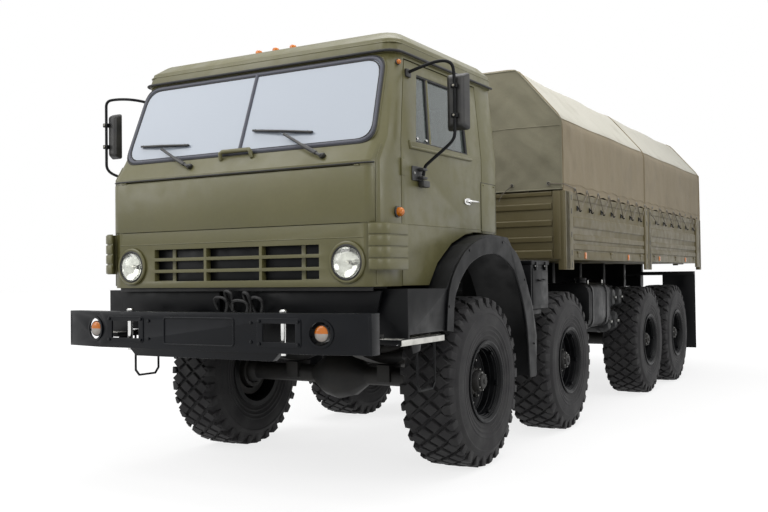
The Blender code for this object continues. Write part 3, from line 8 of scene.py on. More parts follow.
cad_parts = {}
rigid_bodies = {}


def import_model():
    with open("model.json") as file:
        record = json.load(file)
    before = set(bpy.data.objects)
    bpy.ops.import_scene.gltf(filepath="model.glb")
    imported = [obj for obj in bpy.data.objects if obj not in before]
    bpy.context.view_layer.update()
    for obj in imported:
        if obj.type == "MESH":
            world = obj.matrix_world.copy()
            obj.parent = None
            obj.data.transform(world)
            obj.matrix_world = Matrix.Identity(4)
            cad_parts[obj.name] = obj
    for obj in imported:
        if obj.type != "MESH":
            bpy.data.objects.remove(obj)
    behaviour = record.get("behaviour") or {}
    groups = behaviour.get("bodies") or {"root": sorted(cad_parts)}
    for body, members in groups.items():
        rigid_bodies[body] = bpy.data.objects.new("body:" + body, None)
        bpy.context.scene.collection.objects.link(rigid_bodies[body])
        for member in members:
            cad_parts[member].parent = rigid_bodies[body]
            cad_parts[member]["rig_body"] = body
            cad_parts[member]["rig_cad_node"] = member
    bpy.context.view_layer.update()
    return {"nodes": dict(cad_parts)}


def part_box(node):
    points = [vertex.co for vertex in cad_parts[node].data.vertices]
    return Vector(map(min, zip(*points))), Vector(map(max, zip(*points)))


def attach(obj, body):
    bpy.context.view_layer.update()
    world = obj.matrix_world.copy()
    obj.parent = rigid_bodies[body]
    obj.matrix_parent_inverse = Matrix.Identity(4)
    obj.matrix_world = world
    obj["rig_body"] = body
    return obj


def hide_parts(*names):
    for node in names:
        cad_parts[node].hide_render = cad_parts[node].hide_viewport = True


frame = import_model()

SIDES = (("left", 1), ("right", -1))
EDGE = 0.003


# Node and colour helpers

def linear(code):
    """A colour from its sRGB hex code, in linear light."""
    channels = [int(code[i:i + 2], 16) / 255 for i in (1, 3, 5)]
    return tuple(c / 12.92 if c <= 0.04045 else ((c + 0.055) / 1.055) ** 2.4 for c in channels) + (1.0,)


def add(tree, kind, inputs=None, **settings):
    """Adds a node with its settings. An input takes a value or another node's output."""
    made = tree.nodes.new(kind)
    for name, value in settings.items():
        setattr(made, name, value)
    for name, value in (inputs or {}).items():
        if isinstance(value, bpy.types.NodeSocket):
            tree.links.new(value, made.inputs[name])
        else:
            made.inputs[name].default_value = value
    return made


def begun(name, **inputs):
    """A material, its tree, its shader with these inputs and the place on the truck that its patterns read."""
    material = bpy.data.materials.new(name)
    material.use_nodes = True
    tree = material.node_tree
    shader = tree.nodes["Principled BSDF"]
    for key, value in inputs.items():
        shader.inputs[key.replace("_", " ")].default_value = value
    return material, tree, shader, add(tree, "ShaderNodeTexCoord").outputs["Object"]


NO_PATCHES = (1, 0, 0, 1, 0, 1)


def laid(start, base, layers, gloss=None, relief=None, under=None):
    """Lays colours over the base in soft patches, and varies the roughness and the height.

    Each patch row has the patches' size in millimetres, their detail, the noise at which
    they start and are full, and the least and most that they give. The relief ends with
    its height in metres and its strength. What lies under it adds to its height.
    """
    material, tree, shader, place = start
    rows = [row for code, row in layers] + [gloss or NO_PATCHES, relief[0] if relief else NO_PATCHES]
    shares = []
    for size, detail, low, high, least, most in rows:
        cloud = add(tree, "ShaderNodeTexNoise", {"Vector": place, "Scale": 1000 / size, "Detail": detail})
        spread = {"Value": cloud.outputs["Fac"], "From Min": low, "From Max": high, "To Min": least,
            "To Max": most}
        shares.append(add(tree, "ShaderNodeMapRange", spread).outputs["Result"])
    colour = linear(base)
    for (code, row), share in zip(layers, shares):
        colour = add(tree, "ShaderNodeMix", {0: share, 6: colour, 7: linear(code)}, data_type="RGBA").outputs[2]
    if layers:
        tree.links.new(colour, shader.inputs["Base Color"])
    if gloss:
        tree.links.new(shares[-2], shader.inputs["Roughness"])
    if relief:
        height = shares[-1]
        if under:
            height = add(tree, "ShaderNodeMath", {0: height, 1: under}, operation="ADD").outputs[0]
        bump = add(tree, "ShaderNodeBump", {"Height": height, "Distance": relief[1], "Strength": relief[2]})
        tree.links.new(bump.outputs["Normal"], shader.inputs["Normal"])
    return material


# Materials

def enamel(name, colour, faded, dust, roughness, dust_share=0.25, shine=0.5):
    """Sprayed enamel on steel sheet: soft broad lights, sun-faded patches and road dust near the ground.

    The orange peel is drawn 3 mm wide, coarser than real, so that it breaks up the highlights.
    """
    start = begun(name, Specular_IOR_Level=shine)
    tree, place = start[1], start[3]
    height = add(tree, "ShaderNodeSeparateXYZ", {"Vector": place}).outputs["Z"]
    falling = {"Value": height, "From Min": 0.2, "From Max": 2.2, "To Min": dust_share,
        "To Max": dust_share * 0.25}
    most = add(tree, "ShaderNodeMapRange", falling).outputs["Result"]
    layers = [(faded, (625, 6, 0.35, 0.65, 0, 0.6)), ("#000000", (22.2, 3, 0.3, 0.7, 0, 0.06)),
        (dust, (200, 8, 0.3, 0.7, 0, most))]
    gloss = (111, 5, 0.35, 0.65, roughness - 0.06, roughness + 0.10)
    return laid(start, colour, layers, gloss, ((3.125, 1, 0, 1, 0, 1), 0.00012, 0.35))


def rubber(name, colour, worn, roughness, grain=1.11):
    """Vulcanised rubber: dull, greyed by wear, with dust lying in it. Its grain takes the shine off."""
    layers = [(worn, (143, 8, 0.3, 0.7, 0, 1)), ("#33302b", (6.25, 3, 0.45, 0.75, 0, 0.35))]
    gloss = (143, 8, 0.3, 0.7, roughness - 0.08, roughness + 0.12)
    return laid(begun(name, Specular_IOR_Level=0.45), colour, layers, gloss,
        ((grain, 2, 0.2, 0.8, 0, 1), 0.0003, 0.4))


def metal(name, colour, roughness, grain=2.5):
    """Bare or plated metal: bright, with dulled patches and a fine grain that draws its highlights out."""
    gloss = (71.4, 6, 0.35, 0.65, roughness, roughness + 0.15)
    relief = ((grain, 2, 0.2, 0.8, 0, 1), 0.0001, 0.25)
    return laid(begun(name, Metallic=1), colour, [("#6a6a68", (71.4, 6, 0.35, 0.65, 0, 0.3))], gloss, relief)


def cast(name, colour):
    """Painted castings: the sand's 4 mm lumps under thin black paint make a rough, patchy dark."""
    start = begun(name, Roughness=0.65, Metallic=0.15)
    return laid(start, colour, [("#23211d", (167, 8, 0.3, 0.7, 0, 1))], None,
        ((3.85, 4, 0.2, 0.8, 0, 1), 0.0007, 0.5))


def plastic(name, colour, roughness=0.5, grain=1.43, depth=0.00025):
    """Moulded plastic: a grained skin, drawn coarser than real, with an even soft sheen."""
    layers = [("#55534d", (100, 4, 0.35, 0.65, 0, 0.25))]
    return laid(begun(name, Roughness=roughness), colour, layers, None,
        ((grain, 2, 0.2, 0.8, 0, 1), depth, 0.4))


def glazing(name, tint_and_painted_sky, roughness=0.02, ior=1.5, clear=1.0):
    """Float glass: tinted, with a thin film of dust. Where it is less clear, its pale base colour is a painted
    reflection of the sky.
    """
    start = begun(name, Base_Color=linear(tint_and_painted_sky), Transmission_Weight=clear, IOR=ior)
    return laid(start, tint_and_painted_sky, [], (250, 6, 0.35, 0.65, roughness, roughness + 0.05))


def lens(name, colour, transmission):
    """Moulded clear or coloured lens, with a pressed pattern that breaks up what it reflects."""
    start = begun(name, Roughness=0.12, Transmission_Weight=transmission, IOR=1.49)
    layers = [("#c85a0c", (25, 3, 0.35, 0.65, 0, 0.2))]
    return laid(start, colour, layers, None, ((3.85, 1, 0.2, 0.8, 0, 1), 0.0004, 0.4))


def canvas(name, colour, faded, stain, weave=0.0016):
    """Proofed cotton duck: a plain weave drawn coarser than real, sun-faded, with water marks."""
    start = begun(name, Roughness=0.88, Sheen_Weight=0.15, Sheen_Roughness=0.6)
    tree, place = start[1], start[3]
    under = 0.0
    for direction in "XYZ":
        inputs = {"Vector": place, "Scale": 1 / (weave * 2 * math.pi) / 3, "Distortion": 0.4}
        wave = add(tree, "ShaderNodeTexWave", inputs, wave_type="BANDS",
            bands_direction=direction).outputs["Fac"]
        under = add(tree, "ShaderNodeMath", {0: wave, 1: 0.12, 2: under}, operation="MULTIPLY_ADD").outputs[0]
    layers = [(faded, (769, 8, 0.3, 0.7, 0, 0.7)), (stain, (286, 10, 0.52, 0.75, 0, 0.45)),
        ("#3a352a", (6.25, 2, 0.3, 0.8, 0, 0.18))]
    return laid(start, colour, layers, None, ((83.3, 5, 0.2, 0.8, 0, 1), 0.004, 0.45), under)


OLIVE = enamel("cab_enamel_sprayed_olive", "#615e3a", "#696541", "#7a7352", 0.36, 0.06)
BED_OLIVE = enamel("bed_enamel_brushed_olive", "#5d5539", "#675e41", "#776d52", 0.48, 0.12, 0.4)
BLACK = enamel("chassis_enamel_black", "#060709", "#0b0c0e", "#201f1c", 0.40, 0.04, 0.16)
BUMPER_BLACK = enamel("bumper_enamel_blue_black", "#07090d", "#0d1016", "#1e1e1d", 0.32, 0.02, 0.18)
TYRE = rubber("tyre_rubber_vulcanised", "#0e0e0f", "#18171a", 0.76)
GASKET = rubber("gasket_rubber_extruded", "#131314", "#1d1d1e", 0.55)
SCREEN_RUBBER = rubber("screen_rubber_extruded_greyed", "#4c4e59", "#5a5c66", 0.5)
BRASS = metal("eyelet_brass_dulled", "#8f8b80", 0.45)
IRON = cast("casting_sand_cast_black", "#0e0e0e")
STEEL = metal("fastener_steel_zinc_plated", "#a8a8a4", 0.35)
CHROME = metal("handle_steel_chromed", "#e4e4e2", 0.10, 1.11)
ALUMINIUM = metal("step_aluminium_chequered", "#c9c8c2", 0.32)
MIRROR = metal("mirror_glass_silvered", "#e8eaea", 0.02, 0.5)
PLASTIC = plastic("trim_abs_moulded_black", "#161617", 0.48)
WIPER = plastic("wiper_steel_black_oxide", "#0e0e0f", 0.35, 1.11, 0.0001)
DASH = plastic("dashboard_pvc_grained", "#23221f", 0.6, 2.38, 0.0006)
WINDOW = glazing("window_glass_float", "#a9b4b2", 0.02, 1.5, 0.85)
# The windscreen is nearly opaque: its pale blue-grey colour is a painted reflection of the sky.
WINDSCREEN_PAINTED_SKY = glazing("windscreen_glass_laminated_painted_sky", "#b1bac6", 0.08, 1.5, 0.08)
LAMP_CLEAR = glazing("lamp_glass_pressed", "#f4f4ee", 0.08, 1.45)
AMBER = lens("lens_acrylic_amber", "#f58a1e", 0.25)
WHITE_LENS = lens("lens_acrylic_white", "#e8e4da", 0.45)
CANVAS_SIDE = canvas("canvas_cotton_duck_side", "#847659", "#8f8165", "#6b5f47")
CANVAS_FRONT = canvas("canvas_cotton_duck_front", "#827e69", "#8c8772", "#68634f")
# The upper sheet is a much paler copy of the side canvas: its light colour is a painted highlight of the sky
# above.
CANVAS_TOP_PAINTED_LIGHT = canvas("canvas_cotton_duck_painted_top_highlight", "#bfbcae", "#cbc8bc", "#a39e8c")
ROPE = canvas("rope_hemp_laid", "#6f675a", "#7c7365", "#4b4539", 0.004)
SEAT = canvas("seat_cloth_woven", "#2c2c2b", "#353433", "#1c1c1b", 0.003)


# Modelling helpers

def alone(piece):
    """Makes the piece the only one selected, and active."""
    bpy.ops.object.select_all(action="DESELECT")
    piece.select_set(True)
    bpy.context.view_layer.objects.active = piece


def named(piece, name, *finishes):
    piece.name = name
    piece.data.name = name
    piece.data.materials.clear()
    for finish in finishes:
        piece.data.materials.append(finish)
    return piece


def applied(piece, kind, **settings):
    """Adds a modifier with its settings and applies it."""
    alone(piece)
    step = piece.modifiers.new(kind.lower(), kind)
    for name, value in settings.items():
        setattr(step, name, value)
    bpy.ops.object.modifier_apply(modifier=step.name)
    return piece


def rounded(piece, edge=EDGE, rounds=2, sharper_than=32):
    """Rounds the piece's sharp edges and shades it smooth between them."""
    if edge:
        applied(
            piece, "BEVEL", width=edge, segments=rounds, limit_method="ANGLE",
            angle_limit=math.radians(sharper_than), use_clamp_overlap=True, harden_normals=False,
        )
    alone(piece)
    bpy.ops.object.shade_smooth_by_angle(angle=math.radians(sharper_than + 6))
    return piece


def slab(name, low, high, finish, edge=EDGE, rounds=2):
    """A bar or panel between two corners, with rounded edges."""
    low, high = [Vector(point) for point in zip(*(sorted(pair) for pair in zip(low, high)))]
    bpy.ops.object.select_all(action="DESELECT")
    bpy.ops.mesh.primitive_cube_add(size=1, location=(low + high) / 2, scale=high - low)
    piece = bpy.context.object
    bpy.ops.object.transform_apply()
    return rounded(named(piece, name, finish), edge, rounds)


def peg(name, start, end, radius, finish, sides=24, edge=0.0015, end_radius=None):
    """A round bar, or a cone, between two points, with rounded rims."""
    start, end = Vector(start), Vector(end)
    along = end - start
    bpy.ops.object.select_all(action="DESELECT")
    bpy.ops.mesh.primitive_cone_add(
        vertices=sides, radius1=radius, radius2=radius if end_radius is None else end_radius,
        depth=along.length, location=(start + end) / 2,
        rotation=along.to_track_quat("Z", "Y").to_euler(),
    )
    piece = bpy.context.object
    bpy.ops.object.transform_apply()
    return rounded(named(piece, name, finish), edge, 2)


def drawn(points):
    """A line of points, drawn one after the other from a single vertex, in edit mode at its end."""
    bpy.ops.object.select_all(action="DESELECT")
    bpy.ops.mesh.primitive_plane_add(size=1, location=points[0])
    bpy.ops.object.transform_apply()
    bpy.ops.object.mode_set(mode="EDIT")
    bpy.ops.mesh.select_mode(type="VERT")
    bpy.ops.mesh.select_all(action="SELECT")
    bpy.ops.mesh.merge(type="CENTER")
    for before, after in zip(points, points[1:]):
        step = Vector(after) - Vector(before)
        bpy.ops.mesh.extrude_vertices_move(TRANSFORM_OT_translate={"value": step})
    bpy.ops.mesh.select_all(action="SELECT")
    return bpy.context.object


def closed_up(piece, merge=0.00002):
    bpy.ops.mesh.select_all(action="SELECT")
    bpy.ops.mesh.remove_doubles(threshold=merge)
    bpy.ops.mesh.normals_make_consistent(inside=False)
    bpy.ops.object.mode_set(mode="OBJECT")
    return piece


def turned(name, profile, centre, finish, steps=64, axis="X", smooth=30):
    """A profile of (distance along the axis, radius) turned about it through the centre."""
    turn = {"X": Vector((1, 0, 0)), "Y": Vector((0, 1, 0)), "Z": Vector((0, 0, 1))}[axis]
    out = Vector((0, 1, 0)) if axis == "Z" else Vector((0, 0, 1))
    points = [Vector(centre) + turn * along + out * radius for along, radius in profile]
    piece = drawn(points)
    bpy.ops.mesh.spin(steps=steps, angle=math.tau, center=centre, axis=turn)
    closed_up(piece)
    return rounded(named(piece, name, finish), 0, 1, smooth)


def outline(name, points, push, finish, edge=EDGE, rounds=2):
    """A flat outline given as points, thickened by the push."""
    piece = drawn(points)
    bpy.ops.mesh.edge_face_add()
    bpy.ops.mesh.extrude_region_move(TRANSFORM_OT_translate={"value": push})
    closed_up(piece)
    return rounded(named(piece, name, finish), edge, rounds)


def band(name, points, along, wall, finish, edge=0, rounds=1, offset=0):
    """A line of points pulled into a strip along a vector, and thickened by a wall."""
    piece = drawn(points)
    bpy.ops.mesh.extrude_region_move(TRANSFORM_OT_translate={"value": along})
    closed_up(piece)
    named(piece, name, finish)
    applied(piece, "SOLIDIFY", thickness=wall, offset=offset)
    return rounded(piece, edge, rounds)


def tube(name, points, radius, finish, sides=3, ring=False, kind="POLY", order=4):
    """A bent round bar through the points, with filled ends."""
    curve = bpy.data.curves.new(name, "CURVE")
    curve.dimensions = "3D"
    curve.bevel_depth = radius
    curve.bevel_resolution = sides
    curve.use_fill_caps = True
    line = curve.splines.new(kind)
    line.points.add(len(points) - 1)
    for point, place in zip(line.points, points):
        point.co = (*place, 1)
    line.use_cyclic_u = ring
    if kind == "NURBS":
        line.order_u = order
        line.use_endpoint_u = True
        line.resolution_u = 6
    made = bpy.data.objects.new(name, curve)
    bpy.context.scene.collection.objects.link(made)
    alone(made)
    bpy.ops.object.convert(target="MESH")
    piece = named(bpy.context.object, name, finish)
    bpy.ops.object.shade_smooth_by_angle(angle=math.radians(50))
    return piece


def copied(piece, name, change=None):
    """A copy with its own mesh, moved or turned by a matrix."""
    made = piece.copy()
    made.data = piece.data.copy()
    bpy.context.scene.collection.objects.link(made)
    made.name = name
    if change:
        made.data.transform(change)
        if change.determinant() < 0:
            made.data.flip_normals()
    return made


def joined(pieces, name):
    """Several pieces as one, with all their materials."""
    bpy.ops.object.select_all(action="DESELECT")
    for piece in pieces:
        piece.select_set(True)
    bpy.context.view_layer.objects.active = pieces[0]
    if len(pieces) > 1:
        bpy.ops.object.join()
    pieces[0].name = name
    pieces[0].data.name = name
    return pieces[0]


def patterned(model, name, changes):
    """One piece made of copies of a model, which goes."""
    copies = [copied(model, f"{name}_copy", change) for change in changes]
    bpy.data.objects.remove(model)
    return joined(copies, name)


def spun(count, start=0.0):
    """Turns about the axle, evenly round it."""
    return [Matrix.Rotation(math.tau * (i + start) / count, 4, "X") for i in range(count)]


def facing(side):
    """Leaves a piece of the left side as it is and turns it round for the right side."""
    return Matrix.Identity(4) if side > 0 else Matrix.Rotation(math.pi, 4, "Z")


def aimed(piece, place, out):
    """Moves a piece from the origin to a place, with its top looking out."""
    piece.data.transform(Matrix.Translation(place) @ Vector(out).to_track_quat("Z", "Y").to_matrix().to_4x4())
    return piece


def ride(body, slot, *pieces):
    """Puts the pieces on a body. The slot is not used."""
    for piece in pieces:
        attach(piece, body)


def skin(node, finish, slot, body, edge=EDGE, rounds=2, sharper_than=32):
    """A copy of a CAD node with its edges rounded, which stands for the node."""
    source = frame["nodes"][node]
    piece = source.copy()
    piece.data = source.data.copy()
    bpy.context.scene.collection.objects.link(piece)
    piece.parent = None
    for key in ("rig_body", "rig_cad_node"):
        del piece[key]
    alone(piece)
    bpy.ops.object.mode_set(mode="EDIT")
    bpy.ops.mesh.select_all(action="SELECT")
    bpy.ops.mesh.remove_doubles(threshold=0.00005)
    bpy.ops.mesh.dissolve_limited(angle_limit=math.radians(1))
    bpy.ops.object.mode_set(mode="OBJECT")
    bpy.ops.mesh.customdata_custom_splitnormals_clear()
    named(piece, f"{node}_skin", finish)
    rounded(piece, edge, rounds, sharper_than)
    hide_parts(node)
    ride(body, slot, piece)
    return piece


# Camera, floor and light

LENS_MM = 43.42
CAMERA_PLACE = (3.928, -8.988, 1.371)
CAMERA_YAW = math.radians(30.05)
CAMERA_PITCH = math.radians(1.26)
CAMERA_ROLL = math.radians(-0.71)


def set_camera():
    """The camera of the photograph: its place, direction and roll."""
    ahead = Vector((
        -math.sin(CAMERA_YAW) * math.cos(CAMERA_PITCH),
        math.cos(CAMERA_YAW) * math.cos(CAMERA_PITCH),
        math.sin(CAMERA_PITCH),
    ))
    level = ahead.cross(Vector((0, 0, 1))).normalized()
    above = level.cross(ahead)
    right = math.cos(CAMERA_ROLL) * level + math.sin(CAMERA_ROLL) * above
    up = -math.sin(CAMERA_ROLL) * level + math.cos(CAMERA_ROLL) * above
    data = bpy.data.cameras.new("camera")
    data.lens = LENS_MM
    data.sensor_width = 36
    made = bpy.data.objects.new("camera", data)
    bpy.context.scene.collection.objects.link(made)
    turn = Matrix((right, up, -ahead)).transposed().to_4x4()
    made.matrix_world = Matrix.Translation(CAMERA_PLACE) @ turn
    bpy.context.scene.camera = made


def seen_rays(tree):
    """1 for rays that show a thing to the camera, straight, through glass or in a reflection."""
    rays = add(tree, "ShaderNodeLightPath").outputs
    seen = rays["Is Camera Ray"]
    for kind in ("Is Transmission Ray", "Is Glossy Ray"):
        seen = add(tree, "ShaderNodeMath", {0: seen, 1: rays[kind]}, operation="MAXIMUM").outputs[0]
    return seen


def set_stage():
    """A pale floor without an edge in view, a white surround and soft lamps."""
    bpy.ops.mesh.primitive_plane_add(size=160, location=(0, 0, 0))
    floor = bpy.context.object
    material, tree, shader, place = begun(
        "floor_painted_white_board", Roughness=0.9, Base_Color=linear("#8a8a8a"), Specular_IOR_Level=0,
        Emission_Color=linear("#ffffff"))
    away = add(tree, "ShaderNodeVectorMath", {0: place}, operation="LENGTH").outputs["Value"]
    fill = {"Value": away, "From Min": 4.5, "From Max": 11.0, "To Min": 0.78, "To Max": 1.0}
    fill = add(tree, "ShaderNodeMapRange", fill).outputs["Result"]
    glow = add(tree, "ShaderNodeMath", {0: seen_rays(tree), 1: fill}, operation="MULTIPLY").outputs[0]
    tree.links.new(glow, shader.inputs["Emission Strength"])
    named(floor, "floor", material)
    world = bpy.data.worlds.new("studio")
    bpy.context.scene.world = world
    world.use_nodes = True
    tree = world.node_tree
    tree.nodes.clear()
    strength = add(tree, "ShaderNodeMapRange",
        {"Value": seen_rays(tree), "To Min": 0.46, "To Max": 1.0}).outputs["Result"]
    glow = add(tree, "ShaderNodeBackground", {"Color": linear("#ffffff"), "Strength": strength})
    out = add(tree, "ShaderNodeOutputWorld")
    tree.links.new(glow.outputs[0], out.inputs[0])
    for name, place, aim, size, power in (
        ("overhead", (1.0, -1.0, 9.0), (0, 0, 1), 9.0, 540),
        ("front_left", (7.0, -11.0, 5.5), (0, -3, 1.5), 5.0, 230),
        ("front_sky", (-5.0, -9.5, 9.0), (0, -3.5, 2.2), 8.0, 430),
        ("left_side", (10.0, 0.0, 4.5), (0, 0, 1.5), 5.0, 190),
        ("front_right", (-7.0, -9.0, 4.0), (0, -3, 1.5), 4.0, 90),
    ):
        data = bpy.data.lights.new(name, "AREA")
        data.shape = "DISK"
        data.size = size
        data.energy = power
        lamp = bpy.data.objects.new(name, data)
        bpy.context.scene.collection.objects.link(lamp)
        lamp.location = place
        lamp.rotation_euler = (Vector(aim) - Vector(place)).to_track_quat("-Z", "Y").to_euler()


set_camera()
set_stage()
bpy.context.scene.view_settings.view_transform = "Standard"


# Painted, cast and moulded pieces whose CAD shape is right

# Body, finish, slot and nodes
SKINS = (
    ("chassis", BLACK, "black_paint", "frame radiator"),
    ("chassis", IRON, "cast_iron", "engine transfer_case axle_1 axle_2 axle_3 axle_4"),
    ("chassis", IRON, "black_paint", "rear_springs"),
    ("chassis", BUMPER_BLACK, "black_paint", "bumper"),
    ("chassis", BLACK, "black_paint", "fender_left fender_right tool_box fuel_tank_left fuel_tank_right"),
    ("chassis", BLACK, "black_paint", "air_bottles tail_bar"),
    ("chassis", BED_OLIVE, "bed_paint", "bed_floor front_board side_board_left side_board_right"),
    ("chassis", BLACK, "black_paint", "cover_bows"),
    ("cab", OLIVE, "olive_paint", "cab_shell roof"),
    ("cab", DASH, "black_plastic", "dashboard"),
)


def skin_all():
    for body, finish, slot, nodes in SKINS:
        for node in nodes.split():
            skin(node, finish, slot, body)
    for word in ("left", "right"):
        skin(f"door_{word}", OLIVE, "olive_paint", f"door_{word}")
        for number in (1, 2):
            skin(f"knuckle_{number}_{word}", IRON, "cast_iron", f"knuckle_{number}_{word}")
    skin("front_flap", OLIVE, "olive_paint", "front_flap", 0.006, 3)
    skin("tailgate", BED_OLIVE, "bed_paint", "tailgate")
    for node in ("rear_glass", "door_glass_left", "door_glass_right"):
        pane = frame["nodes"][node]
        pane.data.materials.clear()
        pane.data.materials.append(WINDOW)


skin_all()


# Tyres: a carcass with ridged sidewalls, diamond blocks over the tread and wedge lugs on the shoulders

TYRE_LOW, TYRE_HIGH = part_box("tyre_1_left")
TYRE_HALF = (TYRE_HIGH.x - TYRE_LOW.x) / 2
HUB = (TYRE_HIGH + TYRE_LOW) / 2
TIP = HUB.z
TREAD_FLOOR = TIP - 0.024
BEAD = 0.2670
PITCHES = 30
BLOCK_ROWS = 4
BLOCK_SPREAD = 0.118
SHOULDER = 0.150
LUG_OUT = TYRE_HALF - 0.002


def tyre_carcass():
    """The sidewalls with their rings, and the floor between the blocks."""
    half = [
        (0.0, TREAD_FLOOR), (0.100, TREAD_FLOOR - 0.001), (0.150, TREAD_FLOOR - 0.007),
        (0.176, TREAD_FLOOR - 0.026), (0.190, TREAD_FLOOR - 0.052), (0.196, TREAD_FLOOR - 0.070),
        (0.205, 0.505), (0.2105, 0.492), (0.2105, 0.486), (0.2085, 0.482),
        (0.2115, 0.450), (0.2115, 0.428), (0.2095, 0.405), (0.2110, 0.402), (0.2110, 0.394), (0.2085, 0.391),
        (0.205, 0.372), (0.2065, 0.369), (0.2065, 0.361), (0.2035, 0.358), (0.198, 0.338), (0.200, 0.335),
        (0.200, 0.325), (0.1965, 0.321), (0.1925, 0.305), (0.1900, 0.290), (0.1900, BEAD),
    ]
    profile = [(-x, radius) for x, radius in reversed(half)] + half[1:]
    return turned("carcass", profile + [(-half[-1][0], BEAD)], (0, 0, 0), TYRE, 96, "X", 24)


def diamond_block(x, half_wide, half_long, turn):
    """One tread block seen from above as a diamond, narrower at its top."""
    bpy.ops.object.select_all(action="DESELECT")
    bpy.ops.mesh.primitive_cylinder_add(vertices=4, radius=1, depth=1, location=(0, 0, 0))
    block = bpy.context.object
    block.scale = (half_wide, half_long, TIP - TREAD_FLOOR + 0.012)
    bpy.ops.object.transform_apply()
    bpy.ops.object.mode_set(mode="EDIT")
    bpy.ops.mesh.select_mode(type="FACE")
    bpy.ops.mesh.select_all(action="DESELECT")
    bpy.ops.object.mode_set(mode="OBJECT")
    top = max(block.data.polygons, key=lambda face: face.center.z)
    top.select = True
    bpy.ops.object.mode_set(mode="EDIT")
    bpy.ops.transform.resize(value=(0.84, 0.84, 1))
    bpy.ops.object.mode_set(mode="OBJECT")
    crown = 0.0035 * (x / BLOCK_SPREAD) ** 2
    height = (TIP + TREAD_FLOOR - 0.012) / 2 - 0.0006 - crown
    block.data.transform(Matrix.Rotation(turn, 4, "X") @ Matrix.Translation((x, 0, height)))
    return named(block, "block", TYRE)


def shoulder_lug(side, long_lug):
    """A wedge over the tyre's shoulder: wide on the sidewall and pointed towards the tread's middle."""
    inner = SHOULDER - (0.030 if long_lug else 0.012)
    half = 0.034 if long_lug else 0.026
    low = 0.505 if long_lug else 0.535
    points = [
        (inner, 0, TIP - 0.0035), (inner + 0.024, half, TIP - 0.006), (LUG_OUT - 0.024, half, TIP - 0.014),
        (LUG_OUT - 0.024, -half, TIP - 0.014), (inner + 0.024, -half, TIP - 0.006),
    ]
    lug = drawn([(side * x, y, z) for x, y, z in points])
    bpy.ops.mesh.edge_face_add()
    bpy.ops.mesh.extrude_region_move(TRANSFORM_OT_translate={"value": (side * 0.010, 0, low - TIP + 0.010)})
    closed_up(lug)
    return rounded(named(lug, "lug", TYRE), 0.003, 1)


def tyre_model():
    """One whole tyre about the origin, with its axle along X."""
    pitch = math.tau / PITCHES
    pieces = [tyre_carcass()]
    spacing = 2 * BLOCK_SPREAD / (BLOCK_ROWS - 1)
    for row in range(BLOCK_ROWS):
        x = -BLOCK_SPREAD + spacing * row
        block = diamond_block(x, spacing * 0.84, TIP * pitch * 0.43, pitch / 2 * (row % 2))
        rounded(block, 0.0025, 1)
        pieces.append(patterned(block, "row", spun(PITCHES)))
    for side in (1, -1):
        for long_lug in (True, False):
            lug = shoulder_lug(side, long_lug)
            shift = 0.0 if long_lug == (side > 0) else 0.5
            pieces.append(patterned(lug, "lugs", spun(PITCHES // 2, shift)))
    return joined(pieces, "tyre_model")


# Wheels: rolled rim with a lock ring, deep disc with hand holes, hub flange with nuts, capped reduction hub

